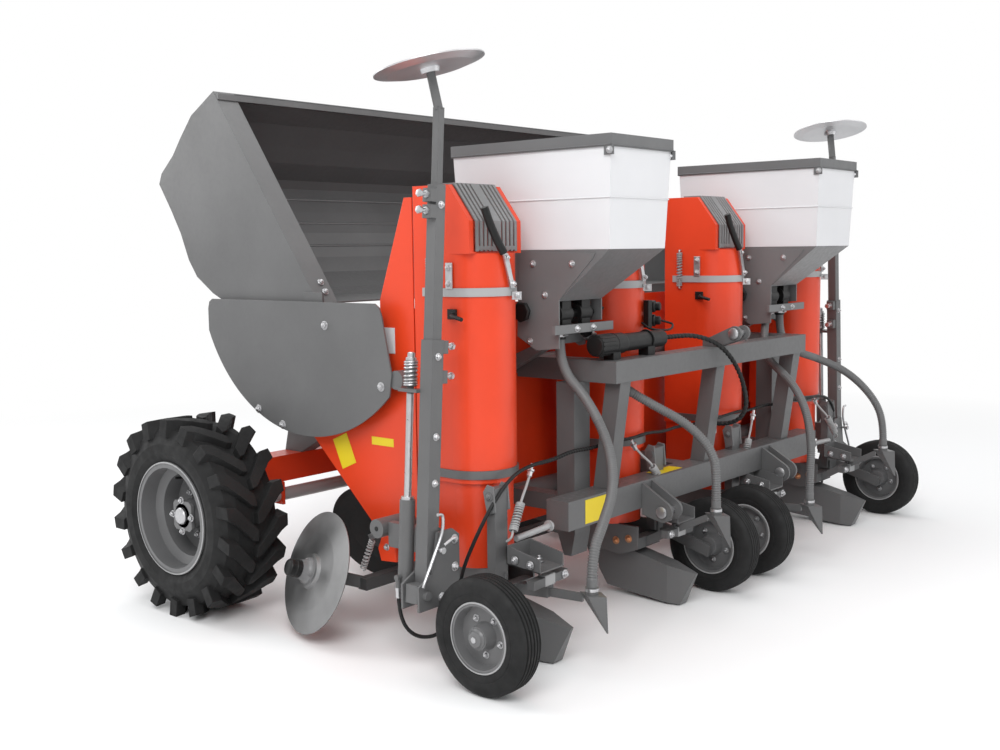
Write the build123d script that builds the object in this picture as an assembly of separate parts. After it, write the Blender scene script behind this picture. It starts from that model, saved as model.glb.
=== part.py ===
# Four-row potato planter with fertiliser hoppers and a tipping seed hopper.
# Millimetres. +Z up, -Y towards the tractor, X across the rows.
# The origin is on the ground, in the middle of the machine's width and length.
from build123d import *
from math import hypot, radians, tan
import os

# Rows, sheet thicknesses and the clearances that all pieces share
row_pitch = 750.0
row_count = 4
rows = [(i - (row_count - 1) / 2) * row_pitch for i in range(row_count)]
seat_gap = 0.3          # between a piece and what carries it
run_gap = 0.1           # radial, between a shaft and its bore
safe_gap = 6.0          # between a moving piece and a fixed one
sheet = 5.0             # folded steel sheet
plate = 8.0             # bracket plate

# Planting tubes: round front, flat sides, flat back
tube_y = -470.0
tube_r = 125.0
tube_back = -315.0
tube_bottom = 575.0
tube_top = 1300.0
foot_r = 112.0
foot_bottom = 300.0
head_top = 1520.0
head_knee = 1400.0
head_front = -560.0
head_break = -468.0
mouth_margin = 20.0
mouth_depth = 70.0
band_t = 5.0
band_h = 27.0
band_levels = (590.0, 1166.0)
slat_w = 11.0
slat_wide = 40.0           # the middle strip
slat_gap = 8.5
slats_beside = 4           # narrow strips on each side of the middle one
slat_t = 6.0

# Toolbars: round tubes across the machine
toolbar_y = -270.0
toolbar_low_z = 425.0
toolbar_high_z = 895.0
toolbar_r = 31.0
toolbar_low_half = 1400.0

# Headstock
head_beam_half = 929.0
head_beam_front = -686.0
head_beam_d = 92.0
head_beam_h = 98.0
head_beam_top = 482.0
top_beam_half = 717.0
top_beam_front = -731.0
top_beam_d = 76.0
top_beam_h = 76.0
top_beam_top = 932.0
post_w = 62.0
post_x = (-650.0, 0.0, 650.0)
tie_x = 682.0
tie_w = 70.0
leg_x = 725.0
leg_w = 90.0
leg_d = 76.0
leg_bottom = 250.0
leg_taper = 80.0

# Hitch
lower_link_x = 454.0
lower_link_y = -772.0
lower_link_z = 381.0
lower_bore_r = 14.0
lower_nose_r = 38.0
lower_gap = 52.0
top_link_y = -800.0
top_link_z = 985.0
top_bore_r = 12.5
top_nose_r = 28.0
top_gap = 52.0
lug_t = 12.0

# Openers and the row frames that carry them
share_t = 8.0
share_nose_y = -845.0
share_tip_y = -788.0
share_tip_z = 24.0
row_frame_x = 70.0
row_frame_z = 215.0
row_frame_front = -640.0
share_seat_z = 265.0
draw_low = 232.0
draw_h = 30.0

# Seed trough behind the tubes
trough_half = 1250.0
trough_front = -228.0
trough_top = 1120.0
trough_rear_y = 80.0
trough_rear_z = 1020.0
trough_bend_y = 240.0
trough_bend_z = 700.0
trough_low_y = -205.0
trough_low_z = 290.0
fin_top_z = 1480.0
fin_rear_y = -155.0
side_x = trough_half + 55.0
side_t = 6.0
toolbar_high_half = side_x - side_t - seat_gap

# Tipping hopper, in the half-raised place that the machine parks with
hopper_half = side_x - 25.0
hopper_pivot_y = 130.0
hopper_pivot_z = 1085.0
hopper_lip = (118.0, 1132.0)
hopper_top = (668.0, 1902.0)
hopper_rear = 1038.0
# floor and pressed back, from the lip round to the top edge
hopper_line = [hopper_lip, (650.0, 1132.0), (716.0, 1160.0), (814.0, 1222.0), (862.0, 1285.0), (909.0, 1389.0),
               (966.0, 1479.0), (hopper_rear, 1581.0), (1019.0, 1621.0), (939.0, 1685.0), (885.0, 1748.0),
               (810.0, 1826.0), hopper_top]
hopper_flange = 92.0
hopper_rim = 20.0
hopper_pin_r = 14.0
hopper_ear_r = 45.0

# Rear chassis
axle_beam_half = trough_half + 40.0
axle_beam_y = 576.0
axle_beam_w = 100.0
axle_beam_top = 538.0
chassis_x = 1000.0
chassis_w = 70.0
shaft_half = 1180.0
shaft_y = 545.0
shaft_z = 385.0
shaft_r = 25.0

# The wheels stand on the ground at this level of the drawing
ground_z = 20.0

# Rear wheels
rear_x = side_x + 178.0
rear_y = 579.0
rear_r = 355.0
rear_z = ground_z + rear_r
rear_w = 250.0
rear_lug_h = 28.0
rear_lugs = 18
rear_rim_r = 189.0
rear_bead_in = 12.0      # from the tyre's side to its bead
axle_r = 22.0

# Gauge wheels
gauge_x = (-1452.0, -142.0, 142.0, 1452.0)
gauge_y = -780.0
gauge_r = 177.0
gauge_z = ground_z + gauge_r
gauge_w = 95.0
gauge_rim_r = 100.0
gauge_bead_in = 11.0
gauge_axle_r = 12.0
gauge_arm_r = 15.0

# Covering discs
disc_out = 270.0
disc_beside_out = trough_half + 190.0 - rows[-1]
disc_in = 215.0
disc_r = 206.0
disc_beside_y = 0.0     # the two outermost discs stand beside the trough
disc_behind_y = 225.0
disc_z = 246.0
disc_toe = 15.0
disc_lean = 20.0
disc_axle_r = 12.0
disc_bar_y = -110.0
disc_bar_z = 195.0
disc_bar_w = 40.0

# Fertiliser hoppers
tank_x = (-743.0, 743.0)
tank_w = 350.0
tank_front = -849.0
tank_back = -190.0
tank_bottom = 1308.0
tank_top = 1632.0
tank_wall = 6.0
tank_taper = 14.0
lid_gap = 2.0
lid_t = 4.0
lid_lip = 40.0
lid_rise = 33.0
lid_pin_r = 5.0
lid_ear_r = 14.0
cone_foot_w = 240.0
cone_foot_front = -632.0
cone_foot_back = -480.0
cone_foot_z = 1140.0
cone_sheet = 4.0
cone_side = -1             # both cones lean to the machine's right
cone_arm_reach = 160.0
meter_y = -590.0
meter_r = 35.0
rail_reach = (-40.0, 290.0)
spout_top = 1060.0
spout_z = 1011.0
# x of each outlet at its metering unit and at its spout's mouth
outlets = ((-844.0, -844.0), (-735.0, -672.0), (642.0, 628.0), (751.0, 751.0))

# Fertiliser coulters, one ahead of each row; each hangs at its own height
coulter_y = -920.0
coulter_tip_y = -980.0
coulter_front = -975.0
coulter_back = -874.0
coulter_tip_z = (154.0, 262.0, 160.0, 276.0)
coulter_h = 112.0
coulter_half = 34.0
socket_h = 22.0

# Hoses: radius, then the points of each route after its first run
hose_r = 17.0
hose_lead = 95.0           # straight out of the spout
hose_drop = 105.0          # straight into the coulter
hose_points = (
    ((-846, -705, 800), (-878, -812, 660), (-955, -880, 545), (-1060, -912, 470)),
    ((-575, -612, 850), (-490, -705, 770), (-400, -825, 688), (-368, -905, 590)),
    ((588, -618, 826), (545, -748, 752), (480, -852, 645), (405, -912, 510)),
    ((790, -640, 850), (905, -715, 808), (1025, -800, 740), (1108, -880, 625)),
)
hydraulic_r = 7.0
bundle_r = 9.0
port_x = 1504.0
port_z = 285.0
block_x = (31.3, 100.0)
block_y = (-650.0, -598.0)
block_z = (575.0, 645.0)
inlet = (-613.5, 622.0)
hydraulic_points = ((-1504, -469, 200), (-1452, -484, 124), (-1362, -508, 112), (-1306, -526, 185), (-1298, -540, 300),
                    (-1292, -596, 420), (-1250, -634, 530), (-1160, -640, 605), (-1050, -632, 622), (-930, -620, 616),
                    (-810, -613, 630), (-690, -612, 622), (-570, -613, 632), (-450, -610, 622), (-340, -614, 632))
right_end = ((-230, -610, 620), (-130, -613, 628), (-50, *inlet))
left_end = ((240, -611, 626), (165, *inlet))
bundle_points = ((-350, -672, 985), (-260, -672, 985), (-165, -705, 985), (-70, -752, 950), (10, -780, 872),
                 (62, -792, 775), (75, -798, 683), (75, -737, 618), (75, -650.3, 618))

# Document canister on the upper beam
canister_y = -672.0
canister_z = 985.0
canister_x = (-755.0, -350.3)
canister_r = 36.0

# Markers
mast_x = 1462.0
mast_y = -545.0
mast_lean = 3.8           # degrees inwards about the pivot, as it rests folded
mast_low_w = 48.0
mast_mid_w = 38.0
mast_top_w = 24.0
mast_bottom = 262.0
mast_mid_z = 1050.0
mast_top_z = 1510.0
mast_bend_z = 1730.0
mast_neck = 108.0
lean_out = 0.19
lean_back = 0.17
marker_r = 168.0
pivot_x = 1500.0
pivot_z = 288.0
pivot_r = 14.0
cyl_x = 1474.0
cyl_y = -470.0
cyl_r = 24.0
rod_r = 11.0
spring_r = 18.0
cyl_bottom = 300.0
shelf_z = 296.0
cyl_top = 560.0
rod_top = 995.0
eye_z = 890.0

# The drawing's Y datum is moved to the middle of the machine's length
middle_y = (hopper_rear + coulter_tip_y) / 2


def block(x0, x1, y0, y1, z0, z1):
    """A box given by its limits."""
    centre = Pos((x0 + x1) / 2, (y0 + y1) / 2, (z0 + z1) / 2)
    return centre * Box(abs(x1 - x0), abs(y1 - y0), abs(z1 - z0))


def rod(start, end, radius):
    """A round bar from one point to another."""
    line = Vector(*end) - Vector(*start)
    return extrude(Plane(origin=start, z_dir=line) * Circle(radius), line.length)


def bar(start, end, width, height):
    """A rectangular bar from one point to another, its height nearest to upright."""
    line = Vector(*end) - Vector(*start)
    side = line.cross(Vector(0, 0, 1))
    if side.length < 1e-6:
        side = Vector(1, 0, 0)
    return extrude(Plane(origin=start, x_dir=side, z_dir=line) * Rectangle(width, height), line.length)


def yz_plate(points, x0, x1):
    """A plate with an outline in (y, z), between two x values."""
    face = make_face(Polyline(*[(0, y, z) for y, z in points], close=True))
    return Pos(min(x0, x1), 0, 0) * extrude(face, abs(x1 - x0), dir=(1, 0, 0))


def xz_plate(points, y0, y1):
    """A plate with an outline in (x, z), between two y values."""
    face = make_face(Polyline(*[(x, 0, z) for x, z in points], close=True))
    return Pos(0, min(y0, y1), 0) * extrude(face, abs(y1 - y0), dir=(0, 1, 0))


def fuse(items):
    """One shape from a list of shapes that touch."""
    items = list(items)
    return items[0] if len(items) == 1 else items[0] + items[1:]


def mirror_x(shape):
    """The same shape on the other side of the machine."""
    return mirror(shape, about=Plane.YZ)


def unit_left(a, b):
    """The unit normal to the left of a line in (y, z)."""
    length = hypot(b[0] - a[0], b[1] - a[1])
    return (-(b[1] - a[1]) / length, (b[0] - a[0]) / length)


def offset_line(points, d):
    """A line in (y, z) moved by d to its left, with mitred corners."""
    moved = []
    for i, (y, z) in enumerate(points):
        normals = [unit_left(points[j], points[j + 1]) for j in (i - 1, i) if 0 <= j < len(points) - 1]
        ny = sum(n[0] for n in normals)
        nz = sum(n[1] for n in normals)
        share = d / (ny * normals[0][0] + nz * normals[0][1])
        moved.append((y + ny * share, z + nz * share))
    return moved


def bent_sheet(points, thickness, x0, x1):
    """A folded sheet from its outer line in (y, z); its thickness lies to the left."""
    return yz_plate(points + offset_line(points, thickness)[::-1], x0, x1)


def turned(points, place=Pos(0, 0, 0)):
    """A turned piece about the X axis from its outline in (x, radius)."""
    face = make_face(Polyline(*[(px, pr, 0) for px, pr in points], close=True))
    return place * revolve(face, Axis.X, 360)


def tube_outline(radius, back):
    """The tube's section: round front, flat sides and a flat back."""
    arc = ThreePointArc((-radius, tube_y), (0, tube_y - radius), (radius, tube_y))
    sides = Polyline((radius, tube_y), (radius, back), (-radius, back), (-radius, tube_y))
    return make_face([arc, sides])


def write(name, *shapes):
    """Export one node, which may be several solids."""
    solids = [Pos(0, -middle_y, -ground_z) * solid for shape in shapes for solid in shape.solids()]
    export_step(solids[0] if len(solids) == 1 else Compound(children=solids), f"parts/{name}.step")


# Toolbars and headstock

def make_toolbar(half, z):
    return rod((-half, toolbar_y, z), (half, toolbar_y, z), toolbar_r)


def make_lower_beam():
    """The front beam with its middle tie back to the lower toolbar."""
    back = head_beam_front + head_beam_d
    low = head_beam_top - head_beam_h
    reach = toolbar_y - toolbar_r - seat_gap
    beam = block(-head_beam_half, head_beam_half, head_beam_front, back, low, head_beam_top)
    return beam + block(-tie_w / 2, tie_w / 2, back - 1, reach, low + 20, head_beam_top - 20)


def make_upper_beam():
    """The upper beam with its fore-and-aft ties back to the upper toolbar."""
    back = top_beam_front + top_beam_d
    low = top_beam_top - top_beam_h
    pieces = [block(-top_beam_half, top_beam_half, top_beam_front, back, low, top_beam_top)]
    for x in (-tie_x, tie_x):
        reach = toolbar_y - toolbar_r - seat_gap
        pieces.append(block(x - tie_w / 2, x + tie_w / 2, back - 1, reach, low, top_beam_top))
    return fuse(pieces)


def make_posts():
    """Three posts that lean forward between the two beams."""
    foot_y = head_beam_front + 15
    head_y = top_beam_front + 7
    foot_z = head_beam_top + seat_gap
    head_z = top_beam_top - top_beam_h - seat_gap
    outline = [(foot_y, foot_z), (foot_y + post_w, foot_z), (head_y + post_w, head_z), (head_y, head_z)]
    return [yz_plate(outline, x - post_w / 2, x + post_w / 2) for x in post_x]


def make_leg():
    """The right box leg behind the headstock, tapered below, with its tie to the lower toolbar."""
    front = head_beam_front + head_beam_d + seat_gap
    back = front + leg_d
    high = top_beam_top - top_beam_h - seat_gap
    shoulder = leg_bottom + leg_taper
    outline = [(front, shoulder), (front, high), (back, high), (back, shoulder), (back - 28, leg_bottom),
               (front + 16, leg_bottom)]
    leg = yz_plate(outline, -leg_x - leg_w / 2, -leg_x + leg_w / 2)
    half = toolbar_r - 2
    reach = toolbar_y - toolbar_r - seat_gap
    return leg + block(-leg_x - half, -leg_x + half, back - 1, reach, toolbar_low_z - half, toolbar_low_z + half)


def clevis(x, gap, outline, pin_y, pin_z, nose_r, bore_r):
    """Two lug plates with rounded noses, bored for the hitch pin."""
    plates = []
    for side in (-1, 1):
        inner = x + side * gap / 2
        outer = inner + side * lug_t
        lug = yz_plate(outline, inner, outer) + rod((inner, pin_y, pin_z), (outer, pin_y, pin_z), nose_r)
        plates.append(lug - rod((inner - side, pin_y, pin_z), (outer + side, pin_y, pin_z), bore_r))
    return plates


def make_hitch():
    """The two lower lug pairs on the lower beam and the top-link bracket on the upper one."""
    face = head_beam_front - seat_gap
    y, z = lower_link_y, lower_link_z
    lower = [(face, head_beam_top - 6), (y - 19, z + 33), (y, z), (y + 8, z - 37), (face, z - 20)]
    foot = top_beam_top + seat_gap
    heel, toe = top_beam_front + 66, top_beam_front + 4
    top = [(heel, foot), (toe, foot), (top_link_y - 12, top_link_z - 25), (top_link_y, top_link_z),
           (top_link_y + 12, top_link_z + 25), (heel, foot + 22)]
    plates = []
    for x in (-lower_link_x, lower_link_x):
        plates += clevis(x, lower_gap, lower, y, z, lower_nose_r, lower_bore_r)
    return plates + clevis(0, top_gap, top, top_link_y, top_link_z, top_nose_r, top_bore_r)


# Planting tubes

def make_tube(x):
    """A planting tube: narrow foot, round body, and a head with an open mouth."""
    body = extrude(Pos(0, 0, tube_bottom) * tube_outline(tube_r, tube_back), tube_top - tube_bottom)
    foot = extrude(Pos(0, 0, foot_bottom) * tube_outline(foot_r, tube_back), tube_bottom - foot_bottom + 1)
    cover = slat_t + seat_gap
    head = yz_plate([(head_front + cover, tube_top - 1), (tube_back, tube_top - 1), (tube_back, head_top - cover),
                     (head_break, head_top - cover), (head_front + cover, head_knee)], -tube_r, tube_r)
    deep = head_front + mouth_depth
    mouth = yz_plate([(head_front - 5, tube_top + 5), (deep, tube_top + 5), (deep, head_knee - 20),
                      (head_break + 60, head_top - 40), (head_break + 60, head_top + 5),
                      (head_front - 5, head_top + 5)], -tube_r + mouth_margin, tube_r - mouth_margin)
    return Pos(x, 0, 0) * (body + foot + head - mouth)


def make_bands():
    """Hoops that hold the tubes, open at the back."""
    bands = []
    for x in rows:
        for z in band_levels:
            outer = tube_outline(tube_r + seat_gap + band_t, tube_back - 40)
            inner = tube_outline(tube_r + seat_gap, tube_back - 39)
            bands.append(Pos(x, 0, z) * (extrude(outer, band_h) - extrude(inner, band_h)))
    return bands


def make_grating(x):
    """Narrow strips on each side of a wide one over the head's mouth, joined by two cross bars."""
    line = [(head_break + 80, head_top), (head_break, head_top), (head_front, head_knee), (head_front, tube_top + 6)]
    widths = [slat_w] * slats_beside + [slat_wide] + [slat_w] * slats_beside
    left = x - (sum(widths) + slat_gap * (len(widths) - 1)) / 2
    strips = []
    for y0, y1, z0, z1 in ((head_break + 66, head_break + 78, head_top - slat_t, head_top),
                           (head_front, head_front + slat_t, tube_top + 10, tube_top + 22)):
        strips.append(block(left, 2 * x - left, y0, y1, z0, z1))
    for width in widths:
        strips.append(bent_sheet(line, slat_t, left, left + width))
        left += width + slat_gap
    return fuse(strips)


# Seed trough

def make_trough():
    """Side sheets, a front sheet and a sloping back that guide the seed to the cups."""
    inner = trough_half - sheet
    outline = [(tube_back + safe_gap, trough_low_z), (tube_back + safe_gap, fin_top_z),
               (tube_back + 40, fin_top_z), (fin_rear_y, trough_top + 30), (fin_rear_y, trough_top - 60),
               (trough_rear_y, trough_rear_z), (trough_bend_y, trough_bend_z), (trough_low_y, trough_low_z)]
    side = yz_plate(outline, inner, trough_half)
    for z in (toolbar_low_z, toolbar_high_z):
        side -= rod((inner - 1, toolbar_y, z), (trough_half + 1, toolbar_y, z), toolbar_r + seat_gap)
    back = bent_sheet([(trough_low_y, trough_low_z), (trough_bend_y, trough_bend_z),
                       (trough_rear_y, trough_rear_z)], sheet, -inner - 1, inner + 1)
    front = block(-inner - 1, inner + 1, trough_front, trough_front + sheet, trough_low_z, trough_top)
    floor = block(-inner - 1, inner + 1, trough_front, trough_low_y + 1, trough_low_z, trough_low_z + sheet)
    return fuse([side, mirror_x(side), back, front, floor])


def make_side_plate():
    """The right outer plate, its lower edge one long curve, with the hopper's pivot pin."""
    top = Polyline((-245, 840), (-257, 912), (-216, 1100), (-205, 1128), (-185, 1141), (690, 1141), (708, 1130),
                   (716, 1105), (716, 1023))
    low = ThreePointArc((716, 1023), (420, 725), (-245, 840))
    face = Plane.YZ * make_face([top, low])
    skin = Pos(-side_x, 0, 0) * extrude(face, side_t, dir=(1, 0, 0))
    pin = rod((-side_x + 1, hopper_pivot_y, hopper_pivot_z), (-hopper_half + 4, hopper_pivot_y, hopper_pivot_z),
              hopper_pin_r)
    return skin + pin


# Tipping hopper

def make_hopper():
    """Folded floor and pressed back between two side sheets, with front flanges, a top rim and pivot ears."""
    outer = -hopper_half
    skin = bent_sheet(hopper_line, sheet, outer + 1, -outer - 1)
    side = yz_plate(hopper_line, outer, outer + sheet)
    flange = bent_sheet([hopper_top, hopper_lip], sheet, outer + 1, outer + hopper_flange)
    y, z = hopper_top
    rim = block(outer + 1, -outer - 1, y - hopper_rim - 8, y - 4, z - hopper_rim - 12, z - 10)
    y, z = hopper_pivot_y, hopper_pivot_z
    shoulder = hopper_lip[1] + 40
    ear = yz_plate([(y - 40, shoulder), (y - 40, z), (y, z - 40), (y + 40, z), (y + 60, shoulder)], outer - 6, outer + 1)
    ear -= rod((outer - 10, y, z), (outer + 10, y, z), hopper_pin_r + run_gap)
    return fuse([skin, rim, side, flange, ear, mirror_x(side), mirror_x(flange), mirror_x(ear)])


# Rear chassis and wheels

def make_axle():
    """Cross beam with a drop plate and a stub axle at each end, and the hangers of the shaft below."""
    half = axle_beam_w / 2
    low = axle_beam_top - axle_beam_w
    pieces = [block(-axle_beam_half, axle_beam_half, axle_beam_y - half, axle_beam_y + half, low, axle_beam_top)]
    for side in (-1, 1):
        x = side * (axle_beam_half - 10)
        outline = [(axle_beam_y - half, axle_beam_top), (axle_beam_y + half, axle_beam_top),
                   (rear_y + 40, rear_z - 50), (rear_y - 40, rear_z - 50)]
        pieces.append(yz_plate(outline, x - 10, x + 10))
        pieces.append(rod((x, rear_y, rear_z), (side * (rear_x + 66), rear_y, rear_z), axle_r))
        hanger = side * (shaft_half - 40)
        pieces.append(block(hanger - 6, hanger + 6, shaft_y - shaft_r - 8, shaft_y + shaft_r + 8, shaft_z - shaft_r - 8,
                            low + 1))
    bore = rod((-shaft_half, shaft_y, shaft_z), (shaft_half, shaft_y, shaft_z), shaft_r + seat_gap)
    return fuse(pieces) - bore


def make_shaft():
    """The round shaft under the cross beam."""
    return rod((-shaft_half, shaft_y, shaft_z), (shaft_half, shaft_y, shaft_z), shaft_r)


def make_chassis_arm():
    """The right cranked arm that stands on the cross beam and carries the trough's back."""
    foot = axle_beam_top + seat_gap
    run, rise = trough_rear_y - trough_bend_y, trough_rear_z - trough_bend_z
    length = hypot(run, rise)
    low_y, low_z = trough_bend_y + seat_gap * rise / length, trough_bend_z - seat_gap * run / length
    top_y, top_z = low_y + run * 0.17, low_z + rise * 0.17
    outline = [(low_y, low_z), (440, 585), (axle_beam_y - 48, foot), (axle_beam_y + 48, foot), (600, 632),
               (505, 640), (top_y, top_z)]
    return yz_plate(outline, -chassis_x - chassis_w / 2, -chassis_x + chassis_w / 2)


def make_rear_tyre(side):
    """A tractor tyre: carcass and two staggered rings of angled lugs."""
    half = rear_w / 2
    tread = rear_r - rear_lug_h
    bead, seat = rear_rim_r + seat_gap, half - rear_bead_in
    right = [(0, tread), (half - 60, tread), (half - 22, tread - 10), (half, tread - 60), (half, tread - 95),
             (seat, bead + 16), (seat, bead)]
    carcass = turned(right + [(-px, r) for px, r in right[:0:-1]])
    lug_outline = [(0, -52), (18, -48), (half - 26, 30), (half, 44), (half, 84), (half - 40, 78), (0, -14)]
    face = make_face(Polyline(*[(lx, ly, 0) for lx, ly in lug_outline], close=True))
    lug = (Pos(0, 0, tread - 40) * extrude(face, rear_lug_h + 60)) & (Rot(0, 90, 0) * Cylinder(rear_r, rear_w + 20))
    step = 360 / rear_lugs
    lugs = []
    for i in range(rear_lugs):
        lugs.append(Rot(i * step, 0, 0) * lug)
        lugs.append(Rot((i + 0.5) * step, 0, 0) * mirror_x(lug))
    return Pos(side * rear_x, rear_y, rear_z) * (carcass + lugs)


def make_rear_rim(side):
    """A well-based rim with its disc and hub, open towards the outside."""
    half = rear_w / 2
    r, edge = rear_rim_r, half - rear_bead_in + seat_gap
    bore = axle_r + run_gap
    outline = [(-edge, r + 14), (-edge, r), (-40, r), (-20, r - 30), (40, r - 30), (60, r), (edge, r),
               (edge, r + 14), (edge + 5, r + 14), (edge + 5, r - 8), (56, r - 8), (42, r - 38), (-22, r - 38),
               (-34, 92), (-26, 60), (0, 58), (30, 56), (66, 44), (66, bore), (-60, bore), (-60, 44), (-34, 60),
               (-42, 100), (-30, r - 38), (-46, r - 8), (-edge - 5, r - 8), (-edge - 5, r + 14)]
    return Pos(side * rear_x, rear_y, rear_z) * turned([(side * px, radius) for px, radius in outline])


def make_gauge_tyre(x):
    """A narrow implement tyre."""
    half = gauge_w / 2
    bead, seat = gauge_rim_r + seat_gap, half - gauge_bead_in
    right = [(0, gauge_r), (16, gauge_r), (half - 20, gauge_r - 4), (half, gauge_r - 40), (seat, bead + 8), (seat, bead)]
    return turned(right + [(-px, r) for px, r in right[:0:-1]], Pos(x, gauge_y, gauge_z))


def make_gauge_rim(x):
    """Rim, disc and hub of a gauge wheel."""
    r, edge = gauge_rim_r, gauge_w / 2 - gauge_bead_in + seat_gap
    bore = gauge_axle_r + run_gap
    right = [(edge, r), (edge, r + 7), (edge + 4, r + 7), (edge + 4, r - 6), (6, r - 12), (6, 42), (44, 34),
             (44, bore)]
    return turned(right + [(-px, radius) for px, radius in right[::-1]], Pos(x, gauge_y, gauge_z))


# Row frames, openers and gauge wheel arms

def make_row_frame(x):
    """Side plates and a crossbar under the tube's foot, clamped to the lower toolbar."""
    pieces = []
    under = foot_bottom - seat_gap
    front = tube_back + safe_gap
    back = trough_front - safe_gap
    outline = [(row_frame_front, row_frame_z), (-560, row_frame_z - 30), (back, draw_low - 6), (back, toolbar_low_z - 8),
               (front, toolbar_low_z - 8), (front, under), (row_frame_front, under)]
    for side in (-1, 1):
        x0 = x + side * row_frame_x
        pieces.append(yz_plate(outline, x0 - plate / 2, x0 + plate / 2))
    for y0, y1, z0, z1 in ((row_frame_front, row_frame_front + 40, row_frame_z, row_frame_z + 40),
                           (-400, -320, share_seat_z, share_seat_z + 25), (back - 30, back, draw_low, draw_low + draw_h)):
        pieces.append(block(x - row_frame_x, x + row_frame_x, y0, y1, z0, z1))
    body = fuse(pieces)
    return body - rod((x - 200, toolbar_y, toolbar_low_z), (x + 200, toolbar_y, toolbar_low_z), toolbar_r + seat_gap)


def make_share(x):
    """An opener: an upright plate and a wedge-shaped shoe with a raked nose."""
    seat = share_seat_z - seat_gap
    stem = yz_plate([(-560, 238), (-420, 238), (-395, seat), (-330, seat), (-380, 120), (-470, 100), (-540, 150)],
                    x - share_t / 2, x + share_t / 2)
    shoe_line = [(share_nose_y, 144), (share_tip_y, share_tip_z), (-700, 30), (-480, 50), (-440, 110), (-440, 190),
                 (-520, 215)]
    half = 38
    shoe = yz_plate(shoe_line, x - half, x + half)
    hollow = yz_plate([(share_tip_y + 20, -10), (-430, -10), (-430, 170), (-700, 150)], x - half + 6, x + half - 6)
    wedge = Polyline((x, share_nose_y - 20), (x + half + 2, share_nose_y + 110), (x + half + 2, -400),
                     (x - half - 2, -400), (x - half - 2, share_nose_y + 110), close=True)
    prism = extrude(make_face(wedge), 400)
    return stem + ((shoe - hollow) & prism)


def make_gauge_arm(i):
    """A cranked axle from the row frame to one gauge wheel."""
    x = gauge_x[i]
    row = rows[i]
    side = 1 if x > row else -1
    frame_x = row + side * (row_frame_x + plate / 2)
    inner = x - side * (gauge_w / 2 + 12)
    arm_z = gauge_z + 60
    pieces = [rod((x + side * 40, gauge_y, gauge_z), (inner - side * 12, gauge_y, gauge_z), gauge_axle_r),
              bar((inner - side * 10, gauge_y - 22, gauge_z - 12), (inner - side * 10, -560, arm_z), 14, 44),
              block(inner - side * 17, frame_x + side * seat_gap, -590, -550, arm_z - 22, arm_z + 18)]
    return fuse(pieces)


# Covering discs

def disc_place(x, side):
    """Place of the disc on one side of a row; its outer face looks outwards, back and up."""
    outboard = side * x > 0
    beside = outboard and abs(x) > row_pitch
    reach = disc_beside_out if beside else disc_out if outboard else disc_in
    y = disc_beside_y if beside else disc_behind_y
    return Pos(x + side * reach, y, disc_z) * Rot(0, 0, side * disc_toe) * Rot(0, -side * disc_lean, 0)


def make_disc(x, side):
    """A dished disc with its hub, turning about its own axis."""
    bore = disc_axle_r + run_gap
    outline = [(0, bore), (60, bore), (60, 24), (20, 28), (18, 56), (6, 60), (1, 130), (-11, disc_r),
               (-15, disc_r - 2), (-4, 130), (0, 60)]
    return disc_place(x, side) * turned([(side * px, radius) for px, radius in outline])


def make_disc_carrier(x):
    """Crossbar, drawbar, and an arm with a stub axle for each of the row's two discs."""
    half = disc_in - 20
    w = disc_bar_w / 2
    seat = trough_front - safe_gap + seat_gap
    pieces = [block(x - half, x + half, disc_bar_y - w, disc_bar_y + w, disc_bar_z - w, disc_bar_z + w),
              yz_plate([(disc_bar_y, disc_bar_z - w), (disc_bar_y, disc_bar_z + w - 5), (seat, draw_low + draw_h),
                        (seat, draw_low)], x - 25, x + 25)]
    for side in (-1, 1):
        place = disc_place(x, side)
        ends = [tuple((place * Pos(side * reach, 0, 0)).position) for reach in (-58, 56, -6)]
        start = (x + side * (half - 18), disc_bar_y, disc_bar_z)
        pieces.append(bar(start, ends[0], 14, 40))
        pieces.append(rod(ends[0], ends[1], disc_axle_r))
        pieces.append(rod(ends[0], ends[2], 20))
    return fuse(pieces)


def make_coulter(i):
    """A wedge-shaped fertiliser coulter with its hose socket, on a square tube and a flat bar from the row frame."""
    x, tip = rows[i], coulter_tip_z[i]
    top = tip + coulter_h
    head = [(x - coulter_half, coulter_y - 10), (x, coulter_front), (x + coulter_half, coulter_y - 10), (x, coulter_back)]
    face = make_face(Polyline(*[(px, py, top) for px, py in head], close=True))
    point = make_face(Polyline(*[(x + (px - x) * 0.06, coulter_tip_y + (py - coulter_front) * 0.06, tip)
                                 for px, py in head], close=True))
    socket = rod((x, coulter_y, top - 1), (x, coulter_y, top + socket_h), hose_r + 3)
    seat = row_frame_front - seat_gap
    arm = yz_plate([(coulter_back - 12, top - 30), (coulter_back - 12, top - 4), (seat, row_frame_z + 36),
                    (seat, row_frame_z + 8)], x - 5, x + 5)
    tube = yz_plate([(-760, (top - 30 + row_frame_z) / 2 + 2), (-760, (top + row_frame_z) / 2 + 24),
                     (seat, row_frame_z + 38), (seat, row_frame_z + 4)], x - 17, x + 17)
    return fuse([loft([point, face]), socket, arm, tube])


# Hoses

def sweep_hose(points, radius):
    """A hose along straight runs that tangent arcs join, its tightest arc printed."""
    corners = [Vector(*p) for p in points]
    bends = []
    for a, b, c in zip(corners, corners[1:], corners[2:]):
        turn = radians((b - a).get_angle(c - b))
        bends.append(0.45 * min((b - a).length, (c - b).length) / tan(turn / 2))
    print("hose", round(min(bends)), "mm, over diameter", round(min(bends) / radius / 2, 1))
    path = FilletPolyline(*corners, radius=bends)
    return sweep(Plane(origin=corners[0], z_dir=corners[1] - corners[0]) * Circle(radius), path=path)


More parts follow.
